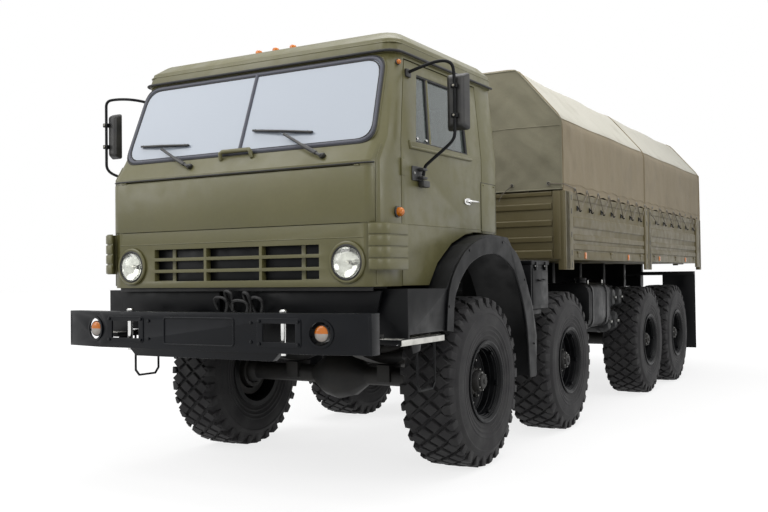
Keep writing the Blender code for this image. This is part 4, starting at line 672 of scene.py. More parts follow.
def wheel_model():
    """One whole wheel about the origin, its outer face towards +X."""
    seat = BEAD - 0.0006
    lip = 0.2053
    rim = turned("rim", [(-lip, seat - 0.014), (-lip, seat + 0.024), (-lip + 0.006, seat + 0.028),
        (-0.1903, seat + 0.022), (-0.1903, seat), (0.1903, seat), (0.1903, seat + 0.020), (0.197, seat + 0.027),
        (0.203, seat + 0.026), (lip, seat + 0.016), (0.201, seat + 0.006), (0.194, seat - 0.003),
        (0.183, seat - 0.006), (0.181, seat - 0.012), (0.173, seat - 0.014), (0.171, seat - 0.020),
        (0.156, seat - 0.022), (0.154, seat - 0.028), (0.120, seat - 0.030), (0.118, seat - 0.034),
        (0.075, seat - 0.036), (0.070, seat - 0.040), (-0.13, seat - 0.040), (-0.19, seat - 0.018),
        (-lip, seat - 0.014)], (0, 0, 0), BLACK, 96, "X", 26)
    disc = turned("disc", [(-0.02, 0.10), (-0.02, seat - 0.034), (0.060, seat - 0.034), (0.066, seat - 0.044),
        (0.058, seat - 0.062), (0.030, 0.186), (0.022, 0.172), (0.024, 0.150), (0.040, 0.140), (0.046, 0.128),
        (0.046, 0.10), (-0.02, 0.10)], (0, 0, 0), BLACK, 72, "X", 26)
    drum = turned("drum", [
        (-0.030, 0.0), (-0.030, 0.150), (-0.128, 0.150), (-0.128, 0.200), (-0.110, 0.204), (-0.030, 0.204),
        (-0.022, 0.190), (-0.018, 0.0),
    ], (0, 0, 0), IRON, 48, "X", 30)
    hub = turned("hub", [(0.0, 0.0), (0.0, 0.124), (0.056, 0.124), (0.060, 0.120), (0.062, 0.112),
        (0.064, 0.094), (0.100, 0.090), (0.108, 0.084), (0.110, 0.078), (0.150, 0.074), (0.156, 0.070),
        (0.160, 0.056), (0.172, 0.054), (0.178, 0.046), (0.178, 0.020), (0.186, 0.018), (0.189, 0.012),
        (0.189, 0.0)], (0, 0, 0), IRON, 48, "X", 30)
    nut = peg("nut", (0.040, 0, 0.163), (0.064, 0, 0.163), 0.016, IRON, 6, 0.002)
    stud = peg("stud", (0.050, 0, 0.163), (0.082, 0, 0.163), 0.008, STEEL, 10, 0.001)
    nuts = patterned(joined([nut, stud], "nut"), "nuts", spun(10))
    cap_bolt = peg("cap_bolt", (0.060, 0, 0.103), (0.074, 0, 0.103), 0.0085, STEEL, 6, 0.001)
    cap_bolts = patterned(cap_bolt, "cap_bolts", spun(12, 0.5))
    end_bolt = peg("end_bolt", (0.156, 0, 0.063), (0.166, 0, 0.063), 0.006, STEEL, 6, 0.0008)
    end_bolts = patterned(end_bolt, "end_bolts", spun(6))
    rib = slab("rib", (0.060, -0.006, 0.070), (0.104, 0.006, 0.098), IRON, 0.002)
    ribs = patterned(rib, "ribs", spun(12))
    valve = tube("valve", [(0.030, 0, 0.196), (0.085, 0, 0.214), (0.120, 0, 0.216)], 0.0045, STEEL)
    clips = patterned(
        slab("clip", (0.150, -0.016, seat - 0.032), (0.176, 0.016, seat - 0.012), BLACK, 0.002), "clips",
        spun(6, 0.25),
    )
    return joined([rim, disc, drum, hub, nuts, cap_bolts, end_bolts, ribs, valve, clips], "wheel_model")


def place_wheels():
    tyre = tyre_model()
    wheel = wheel_model()
    for number in (1, 2, 3, 4):
        for word, side in SIDES:
            low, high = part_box(f"tyre_{number}_{word}")
            middle = (low + high) / 2
            roll = Matrix.Rotation(math.tau / PITCHES * (0.37 * number + 0.2 * side), 4, "X")
            change = Matrix.Translation(middle) @ roll @ facing(side)
            treaded = copied(tyre, f"treaded_tyre_{number}_{word}", change)
            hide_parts(f"tyre_{number}_{word}")
            ride(f"wheel_{number}_{word}", "tyre_rubber", treaded)
            studded = copied(wheel, f"studded_wheel_{number}_{word}", change)
            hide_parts(f"wheel_{number}_{word}")
            ride(f"wheel_{number}_{word}", "black_paint", studded)
    bpy.data.objects.remove(tyre)
    bpy.data.objects.remove(wheel)


place_wheels()


# Where the cab's faces are, by height

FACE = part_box("cab_shell")[0].y
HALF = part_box("cab_shell")[1].x
CAB_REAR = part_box("cab_shell")[1].y
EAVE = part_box("cab_shell")[1].z
WAIST = 2.08
COWL = 2.23
COWL_BACK = 0.10
EAVE_BACK = 0.315
EAVE_IN = 0.055
PANE_BACK = 0.0225


def front_at(z):
    """How far forward the cab's face is at a height."""
    if z < WAIST:
        return FACE
    if z < COWL:
        return FACE + COWL_BACK * (z - WAIST) / (COWL - WAIST)
    return FACE + COWL_BACK + (EAVE_BACK - COWL_BACK) * (z - COWL) / (EAVE - COWL)


def side_at(z):
    """Half the cab's width at a height."""
    return HALF - EAVE_IN * max(0.0, z - COWL) / (EAVE - COWL)


# Windscreen wipers, grab handle and hinge covers on the face

def wiper(name, pivot, knee, tip, heel):
    """A parked wiper: spindle, sprung arm, and a blade of rubber in a pressed holder with its claws."""
    def on(point, off):
        x, z = point
        return Vector((x, front_at(z) + off, z))

    spindle = on(pivot, 0)
    out = Vector((0, -0.034, 0))
    cap = turned("cap", [(0.0, 0.0), (0.0, 0.019), (0.006, 0.021), (0.026, 0.017), (0.036, 0.012),
        (0.040, 0.0)], spindle, WIPER, 24, "Y")
    cap.data.transform(Matrix.Translation(spindle) @ Matrix.Scale(-1, 4,
        (0, 1, 0)) @ Matrix.Translation(-spindle))
    cap.data.flip_normals()
    middle = on(knee, -0.052)
    bend = (spindle + out).lerp(middle, 0.45) + Vector((0, -0.012, 0))
    arm = tube("arm", [spindle + out, bend, middle], 0.0095, WIPER)
    rib = tube("rib", [(spindle + out).lerp(bend, 0.25), bend], 0.0135, WIPER)
    blade_tip, blade_heel = on(tip, -0.018), on(heel, -0.018)
    lift = Vector((0, -0.010, 0))
    blade = tube("blade", [blade_tip, blade_tip.lerp(blade_heel, 0.5), blade_heel], 0.0060, GASKET)
    holder = tube("holder", [blade_tip + lift * 0.8, blade_tip.lerp(blade_heel, 0.3) + lift * 1.7,
        blade_tip.lerp(blade_heel, 0.5) + lift * 2.4, blade_tip.lerp(blade_heel, 0.7) + lift * 1.7,
        blade_heel + lift * 0.8], 0.0075, WIPER)
    claws = [tube("claw", [blade_tip.lerp(blade_heel, share) + lift * 1.6, blade_tip.lerp(blade_heel, share)],
        0.0085, WIPER) for share in (0.06, 0.28, 0.5, 0.72, 0.94)]
    return joined([cap, arm, rib, blade, holder, *claws], name)


def face_fittings():
    wipers = [
        wiper("wiper_right", (-0.387, 2.140), (-0.687, 2.289), (-0.918, 2.328), (-0.464, 2.302)),
        wiper("wiper_left", (0.709, 2.130), (0.376, 2.302), (0.086, 2.357), (0.578, 2.302)),
    ]
    ride("cab", "black_plastic", *wipers)
    low, high = 2.168, 2.222
    points = [(-0.139, low), (-0.135, high - 0.012), (-0.120, high), (0.104, high), (0.120, high - 0.012),
        (0.125, low)]
    handle = tube(
        "grab_handle", [(x, front_at(z) - (0.040 if z > low else 0.0), z) for x, z in points], 0.0145, OLIVE, 4,
    )
    ride("cab", "olive_paint", handle)


# Louvred air deflectors that stand off the cab's front corners

DEFLECTOR_LOW = 1.410
DEFLECTOR_HIGH = 1.695
DEFLECTOR_GAP = 0.056
DEFLECTOR_REAR = 0.245
DEFLECTOR_SLATS = 4


def deflector(side):
    """One bent plate with four pressed slats, on two stays."""
    radius = 0.085
    x_out = HALF + DEFLECTOR_GAP
    y_out = FACE - 0.030
    plan = [(HALF - 0.050, y_out)]
    for i in range(9):
        turn = math.pi / 2 * i / 8
        plan.append((x_out - radius + radius * math.sin(turn), y_out + radius - radius * math.cos(turn)))
    plan.append((x_out + 0.012, FACE + DEFLECTOR_REAR))
    pieces = []
    pitch = (DEFLECTOR_HIGH - DEFLECTOR_LOW) / DEFLECTOR_SLATS
    for i in range(DEFLECTOR_SLATS):
        low = DEFLECTOR_LOW + pitch * i
        line = [(side * x, y, low + 0.004) for x, y in plan]
        pieces.append(band("slat", line, (0, 0, pitch * 0.86), 0.009, OLIVE, 0.0035, 2))
    line = [(side * (x - 0.004), y + 0.004, DEFLECTOR_LOW) for x, y in plan]
    pieces.append(band("back", line, (0, 0, DEFLECTOR_HIGH - DEFLECTOR_LOW), 0.003, OLIVE))
    for z in (DEFLECTOR_LOW + 0.05, DEFLECTOR_HIGH - 0.05):
        low, high = sorted((side * (HALF - 0.01), side * (x_out + 0.002)))
        pieces.append(slab("stay", (low, FACE + DEFLECTOR_REAR * 0.55, z - 0.012),
                           (high, FACE + DEFLECTOR_REAR * 0.55 + 0.02, z + 0.012), OLIVE, 0.002))
    return joined(pieces, f"air_deflector_{'left' if side > 0 else 'right'}")


# Door fittings

DOOR_SEAM_Z = 1.700
LEDGE_Z = 2.195
BAR_Y = -3.475


def door_fittings(word, side):
    """Handle, window ledge, pressed crease, quarter light with its bar, and window rubber."""
    def at(y, z, off=0.0):
        return Vector((side * (side_at(z) + off), y, z))

    front, rear = -3.895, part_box(f"door_{word}")[1].y - 0.012
    body = f"door_{word}"
    crease = tube("crease", [at(front, DOOR_SEAM_Z), at(rear, DOOR_SEAM_Z + 0.008)], 0.0028, OLIVE, 2)
    ledge = tube("ledge", [at(-3.80, LEDGE_Z + 0.045), at(-3.785, LEDGE_Z, 0.003),
        at(-2.87, LEDGE_Z + 0.012, 0.003), at(-2.855, LEDGE_Z + 0.016)], 0.012, OLIVE, 4)
    seam = joined([crease, ledge], f"door_mouldings_{word}")
    ride(body, "olive_paint", seam)
    z = 1.900
    plate = outline(f"handle_plate_{word}", [at(-2.985, z - 0.014), at(-2.985, z + 0.014),
        at(-2.955, z + 0.024), at(-2.90, z + 0.024), at(-2.885, z + 0.010), at(-2.885, z - 0.010),
        at(-2.90, z - 0.024), at(-2.955, z - 0.024)], (side * 0.010, 0, 0), CHROME, 0.002)
    lever = tube("lever", [at(-2.96, z, 0.010), at(-2.955, z, 0.034), at(-2.93, z + 0.002, 0.042),
        at(-2.83, z + 0.004, 0.036), at(-2.79, z + 0.004, 0.026)], 0.0085, CHROME, 4, kind="NURBS", order=3)
    button = turned("button", [(0, 0.0), (0, 0.012), (0.012, 0.011), (0.016, 0.007), (0.016, 0.0)],
                    at(-2.905, z, 0.006), CHROME, 20, "X")
    if side < 0:
        mid = at(-2.905, z, 0.006)
        button.data.transform(Matrix.Translation(mid) @ Matrix.Rotation(math.pi, 4,
            "Z") @ Matrix.Translation(-mid))
    ride(body, "bare_steel", joined([plate, lever, button], f"door_handle_{word}"))
    low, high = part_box(f"door_glass_{word}")
    z0, z1, y0, y1 = low.z + 0.002, high.z - 0.002, low.y, high.y - 0.002
    lean = 0.098
    corners = [(y0 + 0.004, z0), (y1, z0), (y1, z1), (y0 + lean, z1)]
    frame_line = [at(y, z, -PANE_BACK + 0.008) for y, z in corners]
    rubbers = [tube("rubber", frame_line, 0.0125, GASKET, 3, True)]
    rubbers.append(tube("bar", [at(BAR_Y, z0, -PANE_BACK + 0.006), at(BAR_Y + 0.035, z1, -PANE_BACK + 0.006)],
        0.012, OLIVE, 3))
    rubbers.append(tube("bar_rubber",
        [at(BAR_Y - 0.018, z0, -PANE_BACK + 0.004), at(BAR_Y + 0.017, z1, -PANE_BACK + 0.004)], 0.009, GASKET,
        3))
    for y in (y0 + 0.045, BAR_Y - 0.05):
        rubbers.append(peg("catch", at(y, z0 + 0.026, -PANE_BACK), at(y, z0 + 0.026, -PANE_BACK + 0.016), 0.009,
            CHROME, 16))
    ride(body, "gasket_rubber", joined(rubbers, f"door_window_rubber_{word}"))


def quarter_fittings(word, side):
    """The service lid behind the door, its latch and the pressed line around it, drawn as a dark line of
    painted shade.
    """
    y0, y1, z0, z1 = CAB_REAR - 0.315, CAB_REAR - 0.060, 1.695, 2.052
    low, high = sorted((side * (HALF - 0.006), side * (HALF + 0.004)))
    lid = slab(f"service_lid_{word}", (low, y0, z0), (high, y1, z1), OLIVE, 0.004, 3)
    pins = [peg("pin", (side * HALF, y, z1 - 0.012), (side * (HALF + 0.010), y, z1 - 0.012), 0.006, OLIVE, 12)
            for y in (y0 + 0.03, y1 - 0.03)]
    # The pressed groove is a near-black tube: painted shade in the groove.
    groove_painted_shade = tube("groove_painted_shade",
        [(side * (HALF + 0.0005), y, z) for y, z in ((y0 - 0.006, z0 - 0.006), (y1 + 0.006, z0 - 0.006),
        (y1 + 0.006, z1 + 0.006), (y0 - 0.006, z1 + 0.006))], 0.0022, GASKET, 2, True)
    ride("cab", "olive_paint", joined([lid, groove_painted_shade, *pins], f"service_lid_{word}"))


# Lamps

def lamp_stack(name, centre, out, profile_base, profile_lens, base_finish, lens_finish, steps=32):
    """A turned lamp: a base and a lens, looking along out."""
    base = turned("base", profile_base, (0, 0, 0), base_finish, steps, "Z")
    glass = turned("glass", profile_lens, (0, 0, 0), lens_finish, steps, "Z")
    return aimed(joined([base, glass], name), centre, out)


def small_lamps():
    for word, side in SIDES:
        repeater = lamp_stack(
            f"side_repeater_{word}", (side * (HALF - 0.002), -3.965, 1.771), (side, 0, 0),
            [(0.0, 0.0), (0.0, 0.036), (0.010, 0.036), (0.014, 0.031), (0.014, 0.0)],
            [(0.012, 0.0), (0.012, 0.029), (0.034, 0.028), (0.044, 0.022), (0.050, 0.012), (0.052, 0.0)],
            PLASTIC, AMBER,
        )
        ride("cab", "amber_lens", repeater)
        corner = lamp_stack(
            f"pillar_lamp_{word}", (side * (side_at(2.74) - 0.004), -3.838, 2.740), (side, -0.35, 0),
            [(0.0, 0.0), (0.0, 0.019), (0.006, 0.019), (0.008, 0.016), (0.008, 0.0)],
            [(0.007, 0.0), (0.007, 0.016), (0.018, 0.015), (0.024, 0.009), (0.026, 0.0)], PLASTIC, AMBER, 20,
        )
        ride("cab", "amber_lens", corner)
    roof_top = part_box("roof")[1].z
    bar = slab("marker_bar", (-0.36, -3.535, roof_top - 0.004), (0.23, -3.495, roof_top + 0.012), PLASTIC,
        0.004)
    ride("cab", "black_plastic", bar)
    for i, x in enumerate((-0.290, -0.135, 0.020)):
        lamp = lamp_stack(f"marker_lamp_{i + 1}", (x, -3.515, roof_top + 0.008), (0, 0, 1),
            [(0.0, 0.0), (0.0, 0.030), (0.008, 0.030), (0.010, 0.027), (0.010, 0.0)],
            [(0.009, 0.0), (0.009, 0.026), (0.026, 0.025), (0.034, 0.019), (0.038, 0.008), (0.038, 0.0)],
            PLASTIC, AMBER, )
        ride("cab", "amber_lens", lamp)
    hatch = turned("roof_hatch", [(0.0, 0.0), (0.0, 0.24), (0.012, 0.24), (0.022, 0.232), (0.027, 0.21),
        (0.029, 0.0)], (0.28, -3.15, roof_top - 0.004), OLIVE, 48, "Z")
    ride("cab", "olive_paint", hatch)


def headlamp(word, side):
    """A sealed round headlamp: painted bezel, dark ring, mirror bowl, bulb shield and a fluted glass."""
    low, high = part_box(f"headlamp_{word}")
    middle = (low + high) / 2
    bezel = turned("bezel", [(-0.010, 0.116), (0.004, 0.131), (0.012, 0.130), (0.017, 0.122), (0.016, 0.112),
        (-0.010, 0.106), (-0.010, 0.116)], (0, 0, 0), OLIVE, 64, "Z")
    ring = turned("ring", [(-0.016, 0.100), (0.000, 0.113), (0.014, 0.111), (0.019, 0.104), (0.014, 0.098),
        (-0.016, 0.098), (-0.016, 0.100)], (0, 0, 0), PLASTIC, 64, "Z")
    bowl = turned("bowl", [(0.006, 0.099), (-0.010, 0.084), (-0.022, 0.060), (-0.030, 0.030), (-0.032, 0.0)],
                  (0, 0, 0), MIRROR, 64, "Z")
    shield = turned("shield", [(-0.028, 0.0), (-0.028, 0.012), (-0.008, 0.015), (0.0, 0.010), (0.002, 0.0)],
                    (0, 0, 0), CHROME, 24, "Z")
    glass = turned("glass", [(0.012, 0.099), (0.020, 0.092), (0.030, 0.070), (0.037, 0.040), (0.039, 0.0)],
                   (0, 0, 0), LAMP_CLEAR, 64, "Z")
    applied(glass, "SOLIDIFY", thickness=0.003, offset=-1)
    lamp = joined([bezel, ring, bowl, shield, glass], f"headlamp_unit_{word}")
    aimed(lamp, (middle.x, FACE, middle.z), (0, -1, 0))
    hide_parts(f"headlamp_{word}")
    ride("cab", "lamp_glass", lamp)


def cab_trim():
    face_fittings()
    small_lamps()
    for word, side in SIDES:
        ride("cab", "olive_paint", deflector(side))
        door_fittings(word, side)
        quarter_fittings(word, side)
        headlamp(word, side)
    crease = tube("face_seams", [(x, FACE + 0.0005, 1.612) for x in (-1.015, 1.015)], 0.0035, OLIVE, 2)
    ride("cab", "olive_paint", crease)
    # A black sheet behind the grille: painted shade in the dark space behind the bars.
    ride("cab", "black_paint", slab("grille_painted_shade_screen", (-0.720, FACE + 0.050, 1.335),
        (0.720, FACE + 0.054, 1.600), BLACK, 0.001))


cab_trim()


# Lines with rounded corners, and sections that follow them

def soft_corners(points, radius, steps=5, ring=True):
    """The line through the points with its corners rounded."""
    points = [Vector(point) for point in points]
    made = []
    for i, corner in enumerate(points):
        if not ring and i in (0, len(points) - 1):
            made.append(corner)
            continue
        before, after = points[i - 1], points[(i + 1) % len(points)]
        start = corner + (before - corner).normalized() * radius
        end = corner + (after - corner).normalized() * radius
        for j in range(steps + 1):
            t = j / steps
            made.append(start * (1 - t) ** 2 + corner * 2 * t * (1 - t) + end * t ** 2)
    return made


def eased(points, steps=4):
    """More points on a smooth line through the points."""
    points = [Vector(point) for point in points]
    made = []
    for i in range(len(points) - 1):
        a, b, c, d = (points[max(i - 1, 0)], points[i], points[i + 1], points[min(i + 2, len(points) - 1)])
        for j in range(steps):
            t = j / steps
            made.append(0.5 * (2 * b + (c - a) * t + (2 * a - 5 * b + 4 * c - d) * t ** 2
                               + (3 * b - a - 3 * c + d) * t ** 3))
    return made + [points[-1]]


def beside(points, distance):
    """The line moved sideways in its own Y and Z plane."""
    made = []
    for i, point in enumerate(points):
        along = (points[min(i + 1, len(points) - 1)] - points[max(i - 1, 0)]).normalized()
        made.append(point + Vector((0, -along.z, along.y)) * distance)
    return made


def even(points, count):
    """The given number of points at even distances along a line."""
    lengths = [0.0]
    for before, after in zip(points, points[1:]):
        lengths.append(lengths[-1] + (after - before).length)
    made, i = [], 0
    for j in range(count):
        aim = lengths[-1] * j / (count - 1)
        while i < len(points) - 2 and lengths[i + 1] < aim:
            i += 1
        share = (aim - lengths[i]) / (lengths[i + 1] - lengths[i])
        made.append(points[i].lerp(points[i + 1], share))
    return made, lengths[-1]


def bored(piece, *cutters):
    for cutter in cutters:
        applied(piece, "BOOLEAN", object=cutter, operation="DIFFERENCE", solver="EXACT")
        bpy.data.objects.remove(cutter)
    return piece


def pulled(piece, picked, scale, centre):
    """Scales the picked corners of a piece about a centre."""
    centre = Vector(centre)
    for corner in piece.data.vertices:
        if picked(corner.co):
            corner.co = centre + Vector([a * b for a, b in zip(corner.co - centre, scale)])
    return piece


# Mirrors: a tapered moulded housing on a bent arm, with clamps and hinged feet

# Middle across, middle along, lower and upper edge
MIRROR_PLACES = {"left": (1.370, -3.600, 2.300, 2.680), "right": (-1.392, -3.890, 2.290, 2.645)}
ARM_RADIUS = 0.0105


def mirror(word, side):
    """Moulded housing, glass, bent arm with two clamps, and the feet that hold it on the door."""
    x, y, low, high = MIRROR_PLACES[word]
    half = 0.085 if side > 0 else 0.058
    housing = slab("housing", (x - half, y - 0.034, low), (x + half, y + 0.030, high), PLASTIC, 0)
    pulled(housing, lambda place: place.y < y, (0.62, 1, 0.84), (x, y, (low + high) / 2))
    rounded(housing, 0.018, 5, 20)
    glass = slab("glass", (x - half + 0.015, y + 0.026, low + 0.016),
        (x + half - 0.015, y + 0.032, high - 0.016), MIRROR, 0.002)
    front = y - 0.0465
    stem = x + side * 0.004
    root = side_at(2.68) + 0.008
    if side > 0:
        bends = [(1.330, -3.655, 2.205), (1.372, -3.650, 2.250), (stem, front, 2.310), (stem, front, 2.500),
                 (stem, front, 2.660), (1.366, -3.660, 2.735), (1.300, -3.690, 2.752), (1.180, -3.720, 2.722)]
    else:
        stem = x - 0.040
        bends = [(-1.230, -3.720, 2.120), (-1.360, -3.860, 2.150), (stem, front, 2.200), (stem, front, 2.300),
                 (stem, front, 2.500), (stem, front, 2.650), (stem, front, 2.735), (-1.360, -3.905, 2.748),
                 (-1.220, -3.890, 2.735), (-1.125, -3.820, 2.715)]
    foot = [(side * (HALF + 0.030), -3.660, 2.020), (side * (HALF + 0.034), -3.660, 2.075),
        (side * (HALF + 0.070), -3.660, 2.105)]
    arm = tube("arm", [*foot, *bends, (side * root, -3.730, 2.690)], ARM_RADIUS, BLACK, 4, kind="NURBS",
        order=3)
    pieces = [housing, glass, arm]
    for z in (low + 0.095, high - 0.095):
        pieces.append(slab("clamp", (stem - 0.022, front - 0.016, z - 0.015),
            (stem + 0.022, y - 0.020, z + 0.015), BLACK, 0.004))
        pieces.append(peg("bolt", (stem, front - 0.014, z), (stem, front - 0.024, z), 0.008, BRASS, 6, 0.001))
    for z in (2.005, 2.060):
        pieces.append(slab("ear", (side * (HALF - 0.002), -3.702, z - 0.009),
            (side * (HALF + 0.052), -3.640, z + 0.009), PLASTIC, 0.006))
    pieces.append(slab("foot", (side * (HALF - 0.002), -3.770, 1.985), (side * (HALF + 0.010), -3.630, 2.080),
        PLASTIC, 0.006))
    pieces.append(slab("stop", (side * (HALF + 0.004), -3.690, 1.945), (side * (HALF + 0.050), -3.600, 1.990),
        PLASTIC, 0.010))
    for bolt in (-3.752, -3.618):
        pieces.append(peg("bolt", (side * (HALF + 0.008), bolt, 2.032), (side * (HALF + 0.018), bolt, 2.032),
            0.009, STEEL, 6, 0.001))
    head = slab("upper_foot", (side * (side_at(2.68) - 0.002), -3.765, 2.660),
        (side * (side_at(2.68) + 0.016), -3.700, 2.712), PLASTIC, 0.006)
    whole = joined([*pieces, head], f"rear_view_mirror_{word}")
    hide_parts(f"mirror_{word}")
    ride(f"door_{word}", "black_plastic", whole)


# Windscreen rubber with round corners, body corners behind it, and the drip rail

# Corners, across and up
SCREEN = ((-1.050, 2.200), (1.050, 2.200), (1.014, 2.782), (-1.014, 2.782))
SCREEN_ROUND = 0.115
RAIL_Z = 2.812
FACE_SLOPE = (EAVE_BACK - COWL_BACK) / (EAVE - COWL)


def inset(share_x, rise):
    """The windscreen's outline moved in towards its middle, on the cab's face."""
    moved = [(x * share_x, z + (rise if z < 2.5 else -rise)) for x, z in SCREEN]
    return [Vector((x, front_at(2.5) + (z - 2.5) * FACE_SLOPE, z)) for x, z in moved]


def windscreen_trim():
    """Windscreen, its surround and rubber, the flap's wrapped panel, the seams and the drip rail, whose
    near-black colour is painted shade.
    """
    lift = Vector((0, -0.006, 0))
    ring = outline("ring",
        [place + lift for place in soft_corners(inset(1.012, -0.012), SCREEN_ROUND + 0.01, 7)], (0, 0.060, 0),
        OLIVE, 0)
    hole = slab("hole", (-0.945, -4.30, 2.300), (0.945, -3.70, 2.745), OLIVE, 0)
    surround = rounded(bored(ring, hole), 0.004, 2)
    ride("cab", "olive_paint", named(surround, "windscreen_surround", OLIVE))
    pane = outline("windscreen_pane",
        [place + lift for place in soft_corners(inset(0.985, 0.015), SCREEN_ROUND - 0.01, 7)], (0, -0.005, 0),
        WINDSCREEN_PAINTED_SKY, 0)
    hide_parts("windscreen")
    ride("cab", "window_glass", pane)
    seal = tube("seal", [place + lift for place in soft_corners(inset(0.990, 0.010), SCREEN_ROUND, 7)], 0.0135,
        SCREEN_RUBBER, 4, True)
    lips = [tube("lip", [place + lift * 1.6 for place in soft_corners(inset(share, rise), SCREEN_ROUND, 7)],
        0.0055, GASKET, 2, True) for share, rise in ((1.003, -0.004), (0.977, 0.023))]
    bar = tube("bar", [(0, front_at(2.5) + (z - 2.5) * FACE_SLOPE - 0.010, z) for z in (2.212, 2.772)], 0.0135,
        SCREEN_RUBBER, 3)
    trim = joined([seal, *lips, bar], "windscreen_rubber")
    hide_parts("windscreen_gasket")
    ride("cab", "gasket_rubber", trim)
    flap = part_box("front_flap")
    wrap = 0.100
    plan = []
    for i in range(6):
        turn = math.radians(40) * (5 - i) / 5
        plan.append((-(HALF - wrap) - (wrap + 0.004) * math.sin(turn),
            FACE + wrap - (wrap + 0.004) * math.cos(turn)))
    plan += [(-x, y) for x, y in reversed(plan)]
    line = [(x, y, flap[0].z - 0.004) for x, y in plan]
    panel = band("front_flap_panel", line, (0, 0, flap[1].z - flap[0].z - 0.010), 0.003, OLIVE, 0.0015, 2)
    ride("front_flap", "olive_paint", panel)
    corner = (wrap + 0.001) * math.sqrt(0.5)
    seams = [tube("corner_seam", [(side * (HALF - wrap + corner), front_at(z) + wrap - corner, z)
        for z in (1.325, 1.690, 2.085, 2.185)], 0.0035, OLIVE, 2) for side in (1, -1)]
    ride("cab", "olive_paint", joined(seams, "corner_seams"))
    # A dark rubber line along the flap's top: painted shade in the gap where the flap shuts.
    shut = tube("front_flap_shut_line_painted_shade", [(x, y, flap[1].z + 0.007) for x, y in plan], 0.0045, GASKET, 2)
    ride("cab", "gasket_rubber", shut)
    reach, front = 1.084, -3.905
    path = soft_corners([(-reach, CAB_REAR - 0.01, RAIL_Z), (-reach, front, RAIL_Z), (reach, front, RAIL_Z),
                         (reach, CAB_REAR - 0.01, RAIL_Z)], 0.12, 8, False)
    # The drip rail's shape is real; its near-black rubber is painted shade of the shadow line above the
    # windscreen.
    rail = tube("drip_rail_painted_shade", path, 0.0085, GASKET, 3)
    ride("cab", "gasket_rubber", rail)
    crease = tube("roof_crease",
        soft_corners([(-1.066, CAB_REAR - 0.02, 2.872), (-1.066, -3.872, 2.872), (1.066, -3.872, 2.872),
        (1.066, CAB_REAR - 0.02, 2.872)], 0.10, 8, False), 0.005, OLIVE, 3)
    ride("cab", "olive_paint", crease)


# Bumper: pressed window surrounds, tow pins, two-colour lamps and the pressed frame for a plate

BUMPER_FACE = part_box("bumper")[0].y
TOW_X = 0.627
LAMP_X = 0.917
LAMP_Z = 1.0425


def bumper_trim():
    face = BUMPER_FACE
    pieces = []
    for word, side in SIDES:
        corners = soft_corners([(side * x, face - 0.005, z) for x,
            z in ((TOW_X - 0.162, 0.955), (TOW_X + 0.162, 0.955), (TOW_X + 0.162, 1.130),
            (TOW_X - 0.162, 1.130))], 0.024, 4)
        plate = outline("surround", corners, (0, 0.006, 0), BUMPER_BLACK, 0)
        hole = slab("hole", (side * (TOW_X - 0.121), face - 0.03, 0.987),
            (side * (TOW_X + 0.121), face + 0.03, 1.098), BLACK, 0)
        pieces.append(rounded(bored(plate, hole), 0.0022, 2))
        for x in (TOW_X - 0.142, TOW_X + 0.142):
            for z in (0.975, 1.111):
                pieces.append(peg("bolt", (side * x, face - 0.004, z), (side * x, face - 0.013, z), 0.0105,
                    BUMPER_BLACK, 6, 0.0015))
        pin = turned("pin", [(0.905, 0.0), (0.905, 0.0165), (1.150, 0.0175), (1.160, 0.024), (1.172, 0.024),
            (1.180, 0.016), (1.182, 0.0)], (0, 0, 0), CHROME, 28, "Z")
        pin.data.transform(Matrix.Translation((side * TOW_X, face + 0.045, 0)))
        ride("chassis", "bare_steel", named(pin, f"tow_pin_{word}", CHROME))
        lamp = lamp_stack(f"bumper_lamp_{word}", (side * LAMP_X, face + 0.030, LAMP_Z), (0, -1, 0),
            [(-0.030, 0.0), (-0.030, 0.040), (0.0, 0.0525), (0.010, 0.0525), (0.012, 0.049), (0.0, 0.046),
            (0.0, 0.0)], [(0.002, 0.0), (0.002, 0.047), (0.012, 0.046), (0.018, 0.036), (0.021, 0.018),
            (0.022, 0.0)], PLASTIC, AMBER, 40, )
        lamp.data.materials.append(WHITE_LENS)
        for facet in lamp.data.polygons:
            if facet.material_index == 1 and facet.center.z < LAMP_Z:
                facet.material_index = 2
        ride("chassis", "amber_lens", lamp)
        ring = turned("ring", [(-0.004, 0.069), (0.004, 0.072), (0.005, 0.079), (0.002, 0.084), (-0.004, 0.084),
            (-0.004, 0.069)], (0, 0, 0), BUMPER_BLACK, 48, "Y")
        ring.data.transform(Matrix.Translation((side * LAMP_X, face + 0.010,
            LAMP_Z)) @ Matrix.Rotation(math.radians(side * 11), 4, "Z"))
        pieces.append(ring)
        cap = slab("end_cap", (side * 1.200, face + 0.066, 0.930), (side * 1.2270, face + 0.150, 1.150),
            BUMPER_BLACK, 0.012, 4)
        pieces.append(cap)
    frame_line = soft_corners([(x, face - 0.001, z) for x,
        z in ((-0.285, 0.955), (0.285, 0.955), (0.285, 1.125), (-0.285, 1.125))], 0.02, 4)
    pieces.append(tube("plate_frame", frame_line, 0.0055, BUMPER_BLACK, 3, True))
    for x in (-0.42, 0.42):
        for z in (0.985, 1.100):
            pieces.append(peg("bolt", (x, face + 0.001, z), (x, face - 0.008, z), 0.011, BUMPER_BLACK, 6,
                0.0015))
    ride("chassis", "black_paint", joined(pieces, "bumper_pressings"))


# Fenders: a raised band along the wheel arch, chequered step plates and their bolts

# Points along and up
ARCH_LIP = ((-3.459, 1.000), (-3.423, 1.230), (-3.315, 1.360), (-3.170, 1.455), (-2.970, 1.515),
    (-2.720, 1.530), (-2.530, 1.480), (-2.383, 1.408), (-2.228, 1.200), (-2.127, 0.945), (-2.084, 0.562))
ARCH_BAND = 0.118
FENDER_FACE = 1.250


